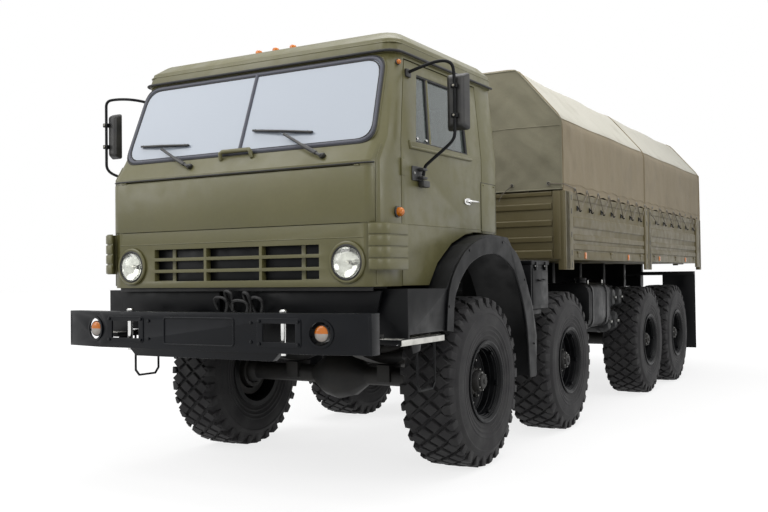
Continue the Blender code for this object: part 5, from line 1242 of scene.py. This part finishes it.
def fender_trim(word, side):
    lip = eased([(side * (FENDER_FACE - 0.001), y, z) for y, z in ARCH_LIP], 3)
    outer = beside(lip, ARCH_BAND)
    piece = outline("band", [*lip, *reversed(outer)], (side * 0.015, 0, 0), BLACK, 0)
    inner = [(place.y, place.z) for place in lip]
    for corner in piece.data.vertices:
        if abs(corner.co.x) > FENDER_FACE + 0.005:
            if any(math.hypot(corner.co.y - y, corner.co.z - z) < 0.002 for y, z in inner):
                corner.co.x -= side * 0.011
    rounded(piece, 0.005, 3, 20)
    edge = tube("lip", [place - Vector((side * 0.004, 0, 0)) for place in lip], 0.007, BLACK, 3)
    pieces = [piece, edge]
    for i in (2, 9, 16, 23, 28):
        middle = lip[i].lerp(outer[i], 0.80)
        pieces.append(peg("rivet", middle + Vector((side * 0.012, 0, 0)), middle + Vector((side * 0.019, 0, 0)),
            0.009, BLACK, 12, 0.002))
    ride("chassis", "black_paint", joined(pieces, f"arch_band_{word}"))
    y0, y1, z = -4.166, -3.594, 0.990
    plate = slab("plate", (side * 1.086, y0, z - 0.002), (side * 1.247, y1, z + 0.003), ALUMINIUM, 0.002)
    trim = slab("trim", (side * 1.244, y0, z - 0.038), (side * 1.253, y1, z - 0.002), ALUMINIUM, 0.002)
    bar = slab("bar", (-0.0125, -0.0030, 0), (0.0125, 0.0030, 0.0022), ALUMINIUM, 0.0012, 1)
    spots = []
    for i in range(15):
        for j in range(4):
            turn = Matrix.Rotation(math.radians(45 if (i + j) % 2 else -45), 4, "Z")
            spots.append(Matrix.Translation((side * (1.108 + 0.039 * j), y0 + 0.025 + 0.0373 * i,
                z + 0.003)) @ turn)
    ride("chassis", "bare_steel", joined([plate, trim, patterned(bar, "bars", spots)], f"step_plate_{word}"))
    rim = tube("rim", soft_corners([(side * 1.248, y, z) for y, z in (
        (y0, z), (y0, z - 0.036), (y1, z - 0.036), (y1, z))], 0.010, 3), 0.004, BLACK, 2, True)
    bracket = outline("bracket",
        [(side * 1.236, y, z) for y, z in ((-4.02, 0.962), (-3.88, 0.962), (-3.90, 0.905), (-3.99, 0.895))],
        (-side * 0.006, 0, 0), BLACK, 0.002)
    ride("chassis", "black_paint", joined([rim, bracket], f"step_bracket_{word}"))


# Tool box, tanks and air bottles

# Side, direction, front end and length
TANK_PLACES = (("left", 1, -0.28, 0.72), ("right", -1, -0.28, 0.95))
# Distance along the truck and height
BOTTLES = ((1.05, 1.12), (0.80, 1.12), (0.89, 0.87), (0.64, 0.87))


def side_equipment():
    low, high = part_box("tool_box")
    lid = slab("lid", (0.594, low.y - 0.006, high.z - 0.030), (high.x + 0.010, high.y + 0.006, high.z + 0.006),
        BLACK, 0.006, 3)
    pieces = [lid, slab("panel", (high.x - 0.004, low.y + 0.030, low.z + 0.030),
        (high.x + 0.006, high.y - 0.030, high.z - 0.060), BLACK, 0.004)]
    for y in (low.y + 0.09, high.y - 0.09):
        pieces.append(slab("latch", (high.x, y - 0.016, high.z - 0.075),
            (high.x + 0.020, y + 0.016, high.z - 0.005), BLACK, 0.004))
        pieces.append(peg("pin", (high.x + 0.012, y - 0.024, high.z - 0.040),
            (high.x + 0.012, y + 0.024, high.z - 0.040), 0.006, STEEL, 12))
    pieces.append(tube("handle",
        soft_corners([(high.x, low.y + 0.13, 1.330), (high.x + 0.034, low.y + 0.13, 1.320),
        (high.x + 0.034, high.y - 0.13, 1.320), (high.x, high.y - 0.13, 1.330)], 0.02, 4, False), 0.007, BLACK))
    pieces.append(slab("rail", (0.62, low.y - 0.01, low.z - 0.046),
        (high.x - 0.02, high.y - 0.11, low.z - 0.004), BLACK, 0.006))
    ride("chassis", "black_paint", joined(pieces, "tool_box_lid"))
    for word, side, front, length in TANK_PLACES:
        low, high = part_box(f"fuel_tank_{word}")
        outer = max(abs(low.x), abs(high.x))
        line = soft_corners([(side * x, 0, z) for x,
            z in ((0.619, low.z - 0.001), (outer + 0.001, low.z - 0.001), (outer + 0.001, high.z + 0.001),
            (0.619, high.z + 0.001))], 0.100, 6)
        line.append(line[0])
        pieces = []
        for share in (0.16, 0.80):
            y = front + length * share
            pieces.append(band("strap", [place + Vector((0, y, 0)) for place in line], (0, 0.045, 0), 0.004,
                BLACK, offset=1))
            pieces.append(peg("tensioner", (side * (outer - 0.05), y + 0.022, high.z - 0.02),
                (side * (outer - 0.05), y + 0.022, high.z + 0.030), 0.008, STEEL, 12))
        for y in (front + 0.004, front + length - 0.012):
            pieces.append(band("seam", [place + Vector((0, y, 0)) for place in line], (0, 0.008, 0), 0.0025,
                BLACK, offset=1))
        cap = turned("filler", [(0.0, 0.0), (0.0, 0.052), (0.030, 0.052), (0.034, 0.058), (0.052, 0.058),
            (0.058, 0.052), (0.060, 0.0)], (side * (outer - 0.16), front + length * 0.34, high.z - 0.004),
            BLACK, 32, "Z")
        ride("chassis", "black_paint", joined([*pieces, cap], f"fuel_tank_straps_{word}"))
    pieces = []
    for y, z in BOTTLES:
        for x in (0.66, 0.98):
            ring = turned("hoop", [(-0.014, 0.114), (-0.014, 0.1185), (0.014, 0.1185), (0.014, 0.114),
                (-0.014, 0.114)], (x, y, z), BLACK, 32, "X")
            pieces.append(ring)
        pieces.append(peg("plug", (1.090, y, z), (1.118, y, z), 0.014, STEEL, 6, 0.002))
        pieces.append(tube("pipe", [(1.108, y, z), (1.116, y + 0.03, z - 0.02), (1.090, y + 0.09, z - 0.05),
            (0.90, y + 0.118, z - 0.06)], 0.006, BLACK, 2, kind="NURBS", order=3))
    ride("chassis", "black_paint", joined(pieces, "air_bottle_hoops"))


# Bed: pressed ribs, slotted posts, sill with reflectors and hinges, rope hooks

BED_X = 1.250
# Lower and upper edge
BED_RIBS = ((1.782, 1.899), (1.670, 1.734), (1.584, 1.645))
# Front and rear end
BED_PANELS = ((-1.000, 1.440), (1.762, 4.170))
# Front edge, rear edge and foot
POSTS = ((-1.243, -1.016, 1.410), (1.458, 1.592, 1.410), (1.610, 1.743, 1.410), (4.190, 4.470, 1.447))
# Heights in the posts, and places along the sill and the boards
SLOTS = (2.050, 1.930, 1.720, 1.560, 1.452)
REFLECTORS = (-0.654, 0.800, 2.146, 3.549)
HINGES = (-0.85, 0.18, 1.30, 1.92, 3.00, 4.08)
HOOKS = (-0.856, -0.497, -0.131, 0.210, 0.558, 0.906, 1.256, 2.021, 2.400, 2.790, 3.190, 3.610, 4.029)
HOOK_Z = 1.955
EYELET_Z = 2.132
EYELETS = tuple(-0.918 + 0.3487 * i for i in range(16))
FRONT_EYELET_Z = 2.166
FRONT_EYELETS = (-1.127, -0.785, -0.39, 0.0, 0.39, 0.785, 1.127)
# Lower and upper edge
FRONT_RIBS = ((1.934, 1.999), (1.787, 1.852), (1.648, 1.706))


def pressed_rib(name, low, high, depth, finish):
    """A raised band of a pressed board: its edges slope back to the sheet."""
    rib = slab(name, low, high, finish, 0)
    outward = Vector(depth)
    middle = (Vector(low) + Vector(high)) / 2
    axis = max(range(3), key=lambda i: abs(outward[i]))
    scale = [0.996, 0.996, 0.74]
    scale[axis] = 1
    pulled(rib, lambda place: (place - middle).dot(outward) > 0, scale, middle)
    return rounded(rib, 0.006, 3, 15)


def bed_side(word, side):
    pieces = []
    for y0, y1 in BED_PANELS:
        for z0, z1 in BED_RIBS:
            pieces.append(pressed_rib("rib", (side * (BED_X - 0.004), y0, z0), (side * (BED_X + 0.013), y1, z1),
                (side, 0, 0), BED_OLIVE))
        pieces.append(pressed_rib("top_rail", (side * (BED_X - 0.004), y0, 2.030),
            (side * (BED_X + 0.008), y1, 2.099), (side, 0, 0), BED_OLIVE))
    pieces.append(slab("sill", (side * (BED_X - 0.010), -1.20, 1.498), (side * (BED_X + 0.006), 4.45, 1.576),
        BED_OLIVE, 0.004))
    for y0, y1, z0 in POSTS:
        post = slab("post", (side * (BED_X - 0.004), y0, z0), (side * (BED_X + 0.018), y1, 2.102), BED_OLIVE,
            0.005)
        pieces.append(post)
        fold = slab("fold", (side * (BED_X + 0.015), y0 + 0.006, z0 + 0.006),
            (side * (BED_X + 0.021), y0 + 0.030, 2.096), BED_OLIVE, 0.002)
        pieces.append(fold)
        for z in SLOTS:
            if z > z0 + 0.03:
                y = y1 - 0.052
                # Each slot is a dark rubber patch on the post's face: painted shade where the hole would be.
                pieces.append(slab("slot", (side * (BED_X + 0.010), y - 0.011, z - 0.026),
                    (side * (BED_X + 0.0188), y + 0.011, z + 0.026), GASKET, 0.0085, 4))
    for y in HINGES:
        pieces.append(peg("hinge", (side * (BED_X + 0.006), y - 0.045, 1.566),
            (side * (BED_X + 0.006), y + 0.045, 1.566), 0.012, BED_OLIVE, 16))
        pieces.append(slab("leaf", (side * (BED_X + 0.002), y - 0.030, 1.520),
            (side * (BED_X + 0.010), y + 0.030, 1.570), BED_OLIVE, 0.003))
    ride("chassis", "bed_paint", joined(pieces, f"side_board_pressings_{word}"))
    marks = [slab("reflector", (side * (BED_X + 0.003), y - 0.024, 1.510),
        (side * (BED_X + 0.014), y + 0.024, 1.568), AMBER, 0.004, 3) for y in REFLECTORS]
    ride("chassis", "amber_lens", joined(marks, f"sill_reflectors_{word}"))
    hook = tube("hook", [(0, 0, 0.020), (0.014, 0, 0.018), (0.018, 0, -0.010), (0.030, 0, -0.024),
        (0.040, 0, -0.010)], 0.005, BLACK, 3, kind="NURBS", order=3)
    base = slab("base", (-0.002, -0.014, -0.012), (0.006, 0.014, 0.032), BLACK, 0.002)
    hooks = patterned(joined([hook, base], "hook"), f"rope_hooks_{word}",
                      [Matrix.Translation((side * (BED_X + 0.001), y, HOOK_Z)) @ facing(side) for y in HOOKS])
    ride("chassis", "black_paint", hooks)


def bed_ends():
    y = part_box("front_board")[0].y
    pieces = []
    for z0, z1 in FRONT_RIBS:
        pieces.append(pressed_rib("rib", (-1.155, y - 0.013, z0), (1.155, y + 0.004, z1), (0, -1, 0),
            BED_OLIVE))
    pieces.append(pressed_rib("top_rail", (-1.155, y - 0.013, 2.055), (1.155, y + 0.004, 2.100), (0, -1, 0),
        BED_OLIVE))
    pieces.append(pressed_rib("low_rail", (-1.155, y - 0.013, 1.502), (1.155, y + 0.004, 1.590), (0, -1, 0),
        BED_OLIVE))
    for side in (1, -1):
        pieces.append(slab("stile", (side * 1.165, y - 0.018, 1.502), (side * 1.232, y + 0.004, 2.100),
            BED_OLIVE, 0.005))
        pieces.append(slab("corner", (side * 1.205, y - 0.006, 1.410), (side * 1.262, y + 0.030, 2.102),
            BED_OLIVE, 0.005))
        pieces.append(slab("foot", (side * 0.62, y - 0.010, 1.430), (side * 0.72, y + 0.004, 1.502), BED_OLIVE,
            0.004))
    ride("chassis", "bed_paint", joined(pieces, "front_board_pressings"))
    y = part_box("tailgate")[1].y
    pieces = []
    for z0, z1 in (*BED_RIBS, (1.940, 2.020)):
        pieces.append(pressed_rib("rib", (-1.12, y - 0.004, z0), (1.12, y + 0.010, z1), (0, 1, 0), BED_OLIVE))
    for side in (1, -1):
        pieces.append(slab("latch", (side * 1.135, y - 0.004, 1.960), (side * 1.195, y + 0.016, 2.020),
            BED_OLIVE, 0.005))
        pieces.append(tube("grip", [(side * 1.165, y + 0.012, 1.975), (side * 1.165, y + 0.022, 1.90),
            (side * 1.165, y + 0.016, 1.84)], 0.007, BLACK))
        for x in (0.25, 0.55, 0.85):
            pieces.append(slab("stile", (side * x - 0.02, y - 0.002, 1.560),
                (side * x + 0.02, y + 0.005, 2.060), BED_OLIVE, 0.003))
    ride("tailgate", "bed_paint", joined(pieces, "tailgate_pressings"))


# Canvas cover: one sheet over the bows, a front sheet and a rear curtain, with hems, eyelets and lacing

HEM_Z = 2.100
COVER_EAVE = 2.730
COVER_TOP = 3.208
COVER_FLAT = 0.840
COVER_HALF = 1.2515
COVER_FRONT = -1.2455
COVER_REAR = 4.5290
ACROSS = 72
ALONG = 140
EAVE_COLUMN = 11
BOWS = tuple(-1.096 + 1.3698 * i for i in range(5))


def sag(y):
    """How slack the canvas is between two bows, from 0 to 1."""
    for before, after in zip(BOWS, BOWS[1:]):
        if before < y < after:
            return math.sin(math.pi * (y - before) / (after - before)) ** 2
    return 0.0


def scallop(y):
    """The hem's rise between two eyelets."""
    place = (y - EYELETS[0]) / (EYELETS[1] - EYELETS[0])
    return 0.016 * math.sin(math.pi * (place % 1.0)) ** 2 if EYELETS[0] < y < EYELETS[-1] else 0.0


def ripples(a, b, scale, depth, seed):
    """Creases of a real depth at a place on the cloth."""
    first = noise.noise(Vector((a * scale, b * scale * 0.35, seed)))
    second = noise.noise(Vector((a * scale * 2.7, b * scale * 0.9, seed + 7.0)))
    return depth * (first + 0.45 * second)


def cloth_grid(name, columns, rows, place, finishes, choose=None, wall=0.0022):
    """A sheet of cloth: a grid whose corners go where place puts them, with a thickness."""
    bpy.ops.object.select_all(action="DESELECT")
    bpy.ops.mesh.primitive_grid_add(x_subdivisions=columns - 1, y_subdivisions=rows - 1, size=1)
    piece = bpy.context.object
    bpy.ops.object.transform_apply()
    for corner in piece.data.vertices:
        corner.co = place(corner.co.x + 0.5, corner.co.y + 0.5)
    named(piece, name, *finishes)
    if choose:
        for facet in piece.data.polygons:
            facet.material_index = choose(facet.index % (columns - 1))
    applied(piece, "SOLIDIFY", thickness=wall, offset=-1)
    alone(piece)
    bpy.ops.object.mode_set(mode="EDIT")
    bpy.ops.mesh.select_all(action="SELECT")
    bpy.ops.mesh.normals_make_consistent(inside=False)
    bpy.ops.object.mode_set(mode="OBJECT")
    bpy.ops.object.shade_smooth_by_angle(angle=math.radians(60))
    return piece


def canvas_cover():
    section = soft_corners([(-COVER_HALF, 0, HEM_Z), (-COVER_HALF, 0, COVER_EAVE), (-COVER_FLAT, 0, COVER_TOP),
        (COVER_FLAT, 0, COVER_TOP), (COVER_HALF, 0, COVER_EAVE), (COVER_HALF, 0, HEM_Z)], 0.07, 6, False)
    spaced, width = even(section, ACROSS + 1)

    def over(u, v):
        place = spaced[round(u * ACROSS)].copy()
        y = COVER_FRONT + (COVER_REAR - COVER_FRONT) * v
        out = Vector((place.x / 1.3, 0, max(0.0, place.z - 2.6) / 0.6)).normalized()
        loose = sag(y)
        edge = min(1.0, (y - COVER_FRONT) / 0.03, (COVER_REAR - y) / 0.03)
        if place.z < COVER_EAVE - 0.03:
            high = (place.z - HEM_Z) / (COVER_EAVE - HEM_Z)
            fold = math.exp(-((y - COVER_FRONT) / 0.45)) * ripples(y + high * 0.22, high, 9.0, 0.010,
                3.0 + place.x)
            move = -0.006 * loose * math.sin(math.pi * high) + ripples(y, high, 5.5, 0.0045,
                place.x) + fold - 0.0035
            place.z += scallop(y) * (1 - high) ** 2 - 0.006 * loose * (1 - high)
            place.x += math.copysign(1, place.x) * move * edge
        else:
            crown = 0.55 + 0.45 * math.cos(math.pi * place.x / 2.6)
            place -= out * (0.013 * loose * crown + abs(ripples(y, place.x, 2.2, 0.006, 11.0)) * 0.8) * edge
        place.y = y
        return place

    # The sheet's upper part takes the pale canvas, a painted highlight of the light from above.
    top = cloth_grid("canvas_sheet", ACROSS + 1, ALONG + 1, over, (CANVAS_SIDE, CANVAS_TOP_PAINTED_LIGHT),
                     lambda column: int(EAVE_COLUMN <= column < ACROSS - EAVE_COLUMN))
    length = COVER_REAR - COVER_FRONT
    straps = []
    for y, radius in ((COVER_FRONT + 0.012, 0.0075), (1.515, 0.0035), (1.545, 0.0035),
            (COVER_REAR - 0.012, 0.0075)):
        line = [over(i / ACROSS, (y - COVER_FRONT) / length) for i in range(ACROSS + 1)]
        straps.append(tube("seam", [place + Vector((place.x, 0, (place.z - 2.5))).normalized() * 0.0015
            for place in line], radius, CANVAS_SIDE, 2))

    def lengthwise(column):
        return [over(column / ACROSS, i / ALONG) for i in range(ALONG + 1)]

    for column in (0, ACROSS):
        hem = lengthwise(column)
        straps.append(tube("hem", [place + Vector((0, 0, 0.004)) for place in hem], 0.0055, CANVAS_SIDE, 2))
        fold = lengthwise(abs(column - 1))
        straps.append(tube("stitching", [place + Vector((math.copysign(0.0012, place.x), 0, 0.012))
            for place in fold], 0.0018, CANVAS_SIDE, 1))
    for column in (EAVE_COLUMN, ACROSS - EAVE_COLUMN):
        straps.append(tube("eave_seam", lengthwise(column), 0.0032, CANVAS_SIDE, 2))

    def closing(y, depth, seed):
        def place(u, v):
            x = (u * 2 - 1) * (COVER_HALF - 0.004)
            roof = COVER_TOP if abs(x) < COVER_FLAT else (
                COVER_TOP - (abs(x) - COVER_FLAT) / (COVER_HALF - COVER_FLAT) * (COVER_TOP - COVER_EAVE))
            roof -= 0.010
            z = HEM_Z + 0.012 + (roof - HEM_Z - 0.012) * v
            edge = min(1.0, v * 12, (1 - v) * 12, (COVER_HALF - abs(x)) / 0.06)
            wave = ripples(x + z * 0.8, z - x * 0.5, 3.2, 0.020, seed) + ripples(x - z, z, 8.0, 0.007, seed + 2)
            return Vector((x, y + depth * wave * edge + depth * 0.004, z))
        return place

    for name, y, depth, seed, finish in (("canvas_front", COVER_FRONT - 0.001, -1, 21.0, CANVAS_FRONT),
                                         ("canvas_curtain", COVER_REAR + 0.001, 1, 35.0, CANVAS_SIDE)):
        place = closing(y, depth, seed)
        sheet = cloth_grid(name, 61, 41, place, (finish,))
        bottom = tube("hem", [place(i / 60, 0) + Vector((0, depth * 0.002, 0.003)) for i in range(61)], 0.006,
            finish, 2)
        level = []
        for i in range(61):
            high = place(i / 60, 1).z - HEM_Z
            level.append(place(i / 60, min(1.0, (COVER_EAVE - 0.06 - HEM_Z) / high)) + Vector((0, depth * 0.001,
                0)))
        seam = tube("seam", level, 0.0035, finish, 2)
        rim = tube("rim", [place(0, i / 40) for i in range(1, 41)] + [place(i / 60, 1) for i in range(1, 60)]
                   + [place(1, i / 40) for i in range(40, 0, -1)], 0.006, finish, 2)
        trim = joined([bottom, seam, rim], f"{name}_hems")
        ride("chassis", "canvas", sheet, trim)
    eyelet = turned("eyelet", [(-0.001, 0.011), (0.003, 0.012), (0.0040, 0.015), (0.003, 0.019),
        (-0.001, 0.020), (-0.001, 0.011)], (0, 0, 0), BRASS, 20, "X")
    # A near-black disc in the eyelet's middle: painted shade in the hole.
    hole = turned("hole", [(0.0, 0.0), (0.0, 0.012), (0.0012, 0.012), (0.0012, 0.0)], (0, 0, 0), GASKET, 16,
        "X")
    eyelet = joined([eyelet, hole], "eyelet")
    spots = []
    for side in (1, -1):
        spots += [Matrix.Translation((side * (COVER_HALF + 0.0025), y, EYELET_Z)) @ facing(side)
            for y in EYELETS]
    ahead = Matrix.Rotation(-math.pi / 2, 4, "Z")
    spots += [Matrix.Translation((x, COVER_FRONT - 0.012, FRONT_EYELET_Z)) @ ahead for x in FRONT_EYELETS]
    eyelets = patterned(eyelet, "canvas_eyelets", spots)
    ropes = []
    for word, side in SIDES:
        x = side * (COVER_HALF + 0.010)
        line = [(side * 1.127, COVER_FRONT - 0.018, 2.166), (side * 1.19, COVER_FRONT - 0.022, 2.160),
            (side * (COVER_HALF + 0.008), COVER_FRONT - 0.006, 2.158), (x, -1.10, 2.150),
            (x, EYELETS[0], EYELET_Z)]
        for i, y in enumerate(HOOKS):
            near = [place for place in EYELETS if place > y + 0.02]
            line.append((side * (BED_X + 0.030), y, HOOK_Z - 0.016))
            if near:
                line.append((x, near[0], EYELET_Z))
        ropes.append((tube(f"canvas_lacing_{word}", line, 0.0042, ROPE, 3), line))
        line = [(side * 0.785, COVER_FRONT - 0.018, 2.166), (side * 0.70, COVER_FRONT - 0.034, 2.09),
            (side * 0.66, COVER_FRONT - 0.020, 2.03)]
        ropes.append((tube(f"canvas_tie_{word}", line, 0.0042, ROPE, 3), line))
    seams = joined(straps, "canvas_seams")
    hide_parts("canvas_cover")
    ride("chassis", "canvas", top, seams, eyelets, *[rope for rope, line in ropes])
    for rope, line in ropes:
        reach = sum((Vector(b) - Vector(a)).length for a, b in zip(line, line[1:]))
        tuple(line[0])


# Seats: padded cushions with piping on black bases

# From and to across the cab
SEATS = ((0.37, 0.87), (-0.87, 0.22))
SEAT_FRONT = -3.320
SEAT_TOP = 2.020
BACK_TOP = 2.630


def cushion(name, low, high, cap):
    """A stuffed cushion: a box remeshed and blown up a little as cloth, its swelling capped."""
    piece = slab(name, low, high, SEAT, 0.02, 2)
    applied(piece, "REMESH", mode="VOXEL", voxel_size=0.014)
    rest = [corner.co.copy() for corner in piece.data.vertices]
    alone(piece)
    step = piece.modifiers.new("cloth", "CLOTH")
    step.settings.use_pressure = True
    step.settings.uniform_pressure_force = 4
    step.settings.effector_weights.gravity = 0
    for turn in range(1, 13):
        bpy.context.scene.frame_set(turn)
    bpy.ops.object.modifier_apply(modifier="cloth")
    bpy.context.scene.frame_set(1)
    for corner, start in zip(piece.data.vertices, rest):
        move = corner.co - start
        if move.length > cap:
            corner.co = start + move.normalized() * cap
    applied(piece, "SMOOTH", iterations=4, factor=0.5)
    applied(piece, "SUBSURF", levels=1, render_levels=1)
    bpy.ops.object.shade_smooth()
    return named(piece, name, SEAT)


def seats():
    frames = []
    pads = []
    for name, (x0, x1) in zip(("driver", "bench"), SEATS):
        rear = SEAT_FRONT + 0.50
        seat = cushion(f"{name}_seat_cushion", (x0 + 0.012, SEAT_FRONT + 0.012, SEAT_TOP - 0.130),
            (x1 - 0.012, rear - 0.130, SEAT_TOP - 0.018), 0.018)
        back = cushion(f"{name}_back_cushion", (x0 + 0.012, rear - 0.112, SEAT_TOP - 0.110),
            (x1 - 0.012, rear - 0.016, BACK_TOP - 0.020), 0.018)
        pads += [seat, back]
        lines = soft_corners([(x, y, SEAT_TOP - 0.026) for x,
            y in ((x0 + 0.02, SEAT_FRONT + 0.02), (x1 - 0.02, SEAT_FRONT + 0.02), (x1 - 0.02, rear - 0.14),
            (x0 + 0.02, rear - 0.14))], 0.05, 5)
        frames.append(tube("piping", lines, 0.005, PLASTIC, 2, True))
        frames.append(slab("base", (x0 + 0.06, SEAT_FRONT + 0.06, 1.722),
            (x1 - 0.06, rear - 0.06, SEAT_TOP - 0.13), PLASTIC, 0.02, 3))
        frames.append(slab("pan", (x0, SEAT_FRONT, SEAT_TOP - 0.145), (x1, rear - 0.01, SEAT_TOP - 0.125),
            PLASTIC, 0.008, 3))
        frames.append(slab("back_shell", (x0, rear - 0.020, SEAT_TOP - 0.12),
            (x1, rear - 0.002, BACK_TOP - 0.03), PLASTIC, 0.008, 3))
    frame_piece = joined(frames, "seat_frames")
    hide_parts("seats")
    ride("cab", "black_plastic", frame_piece)
    ride("cab", "seat_cloth", *pads)


# Rivets of the frame, hoses behind the bumper, and the mud flaps' stiffeners

RAIL_X = 0.460


def chassis_details():
    rivet = peg("rivet", (0, 0, 0), (0.009, 0, 0), 0.011, BLACK, 8, 0.003)
    spots = []
    for i in range(58):
        for z in (0.975, 1.155):
            for side in (1, -1):
                spots.append(Matrix.Translation((side * (RAIL_X - 0.001), -3.95 + 0.145 * i, z)) @ facing(side))
    ride("chassis", "black_paint", patterned(rivet, "frame_rivets", spots))
    # A dark rubber strip under the cab's front edge: painted shade of the shadow line where the apron sits
    # back.
    ride("cab", "gasket_rubber", slab("cab_lower_shadow_line", (-1.055, -4.166, 1.284), (1.055, -4.150, 1.313), GASKET,
        0.003))
    hoses = []
    for i, (x, z, bend) in enumerate(((-0.12, 1.22, 0.10), (-0.05, 1.26, 0.06), (0.04, 1.20, 0.12),
            (0.10, 1.25, 0.05), (0.18, 1.22, 0.09))):
        hoses.append(tube("hose",
            [(x, -4.14, z - 0.10), (x + bend, -4.20, z), (x + 0.4 * bend, -4.22, z + 0.04),
            (x - bend, -4.17, z + 0.02), (x - 0.6 * bend, -4.10, z - 0.09)], 0.010 + 0.002 * (i % 2), GASKET, 3,
            kind="NURBS", order=4))
    for side in (1, -1):
        hoses.append(tube("brake_hose", [(side * 0.50, -3.05, 1.02), (side * 0.58, -3.02, 0.93),
            (side * 0.66, -2.95, 0.90), (side * 0.74, -2.90, 0.72)], 0.009, GASKET, 3, kind="NURBS", order=4))
    ride("chassis", "gasket_rubber", joined(hoses, "brake_and_cooling_hoses"))
    flaps = []
    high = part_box("tail_bar")[1]
    for side in (1, -1):
        flaps.append(slab("clamp", (side * 0.81, high.y - 0.004, high.z - 0.050),
            (side * 1.23, high.y + 0.006, high.z - 0.006), BLACK, 0.002))
        for x in (0.86, 1.02, 1.18):
            flaps.append(peg("bolt", (side * x, high.y + 0.004, high.z - 0.028),
                (side * x, high.y + 0.014, high.z - 0.028), 0.009, STEEL, 6, 0.001))
        for z in (0.62, 0.90, 1.18):
            flaps.append(slab("ridge", (side * 0.83, high.y - 0.002, z),
                (side * 1.21, high.y + 0.004, z + 0.014), GASKET, 0.003))
    ride("chassis", "black_paint", joined(flaps, "mud_flap_clamps"))


def dress():
    windscreen_trim()
    bumper_trim()
    side_equipment()
    for word, side in SIDES:
        mirror(word, side)
        fender_trim(word, side)
        bed_side(word, side)
    bed_ends()
    canvas_cover()
    seats()
    chassis_details()


dress()
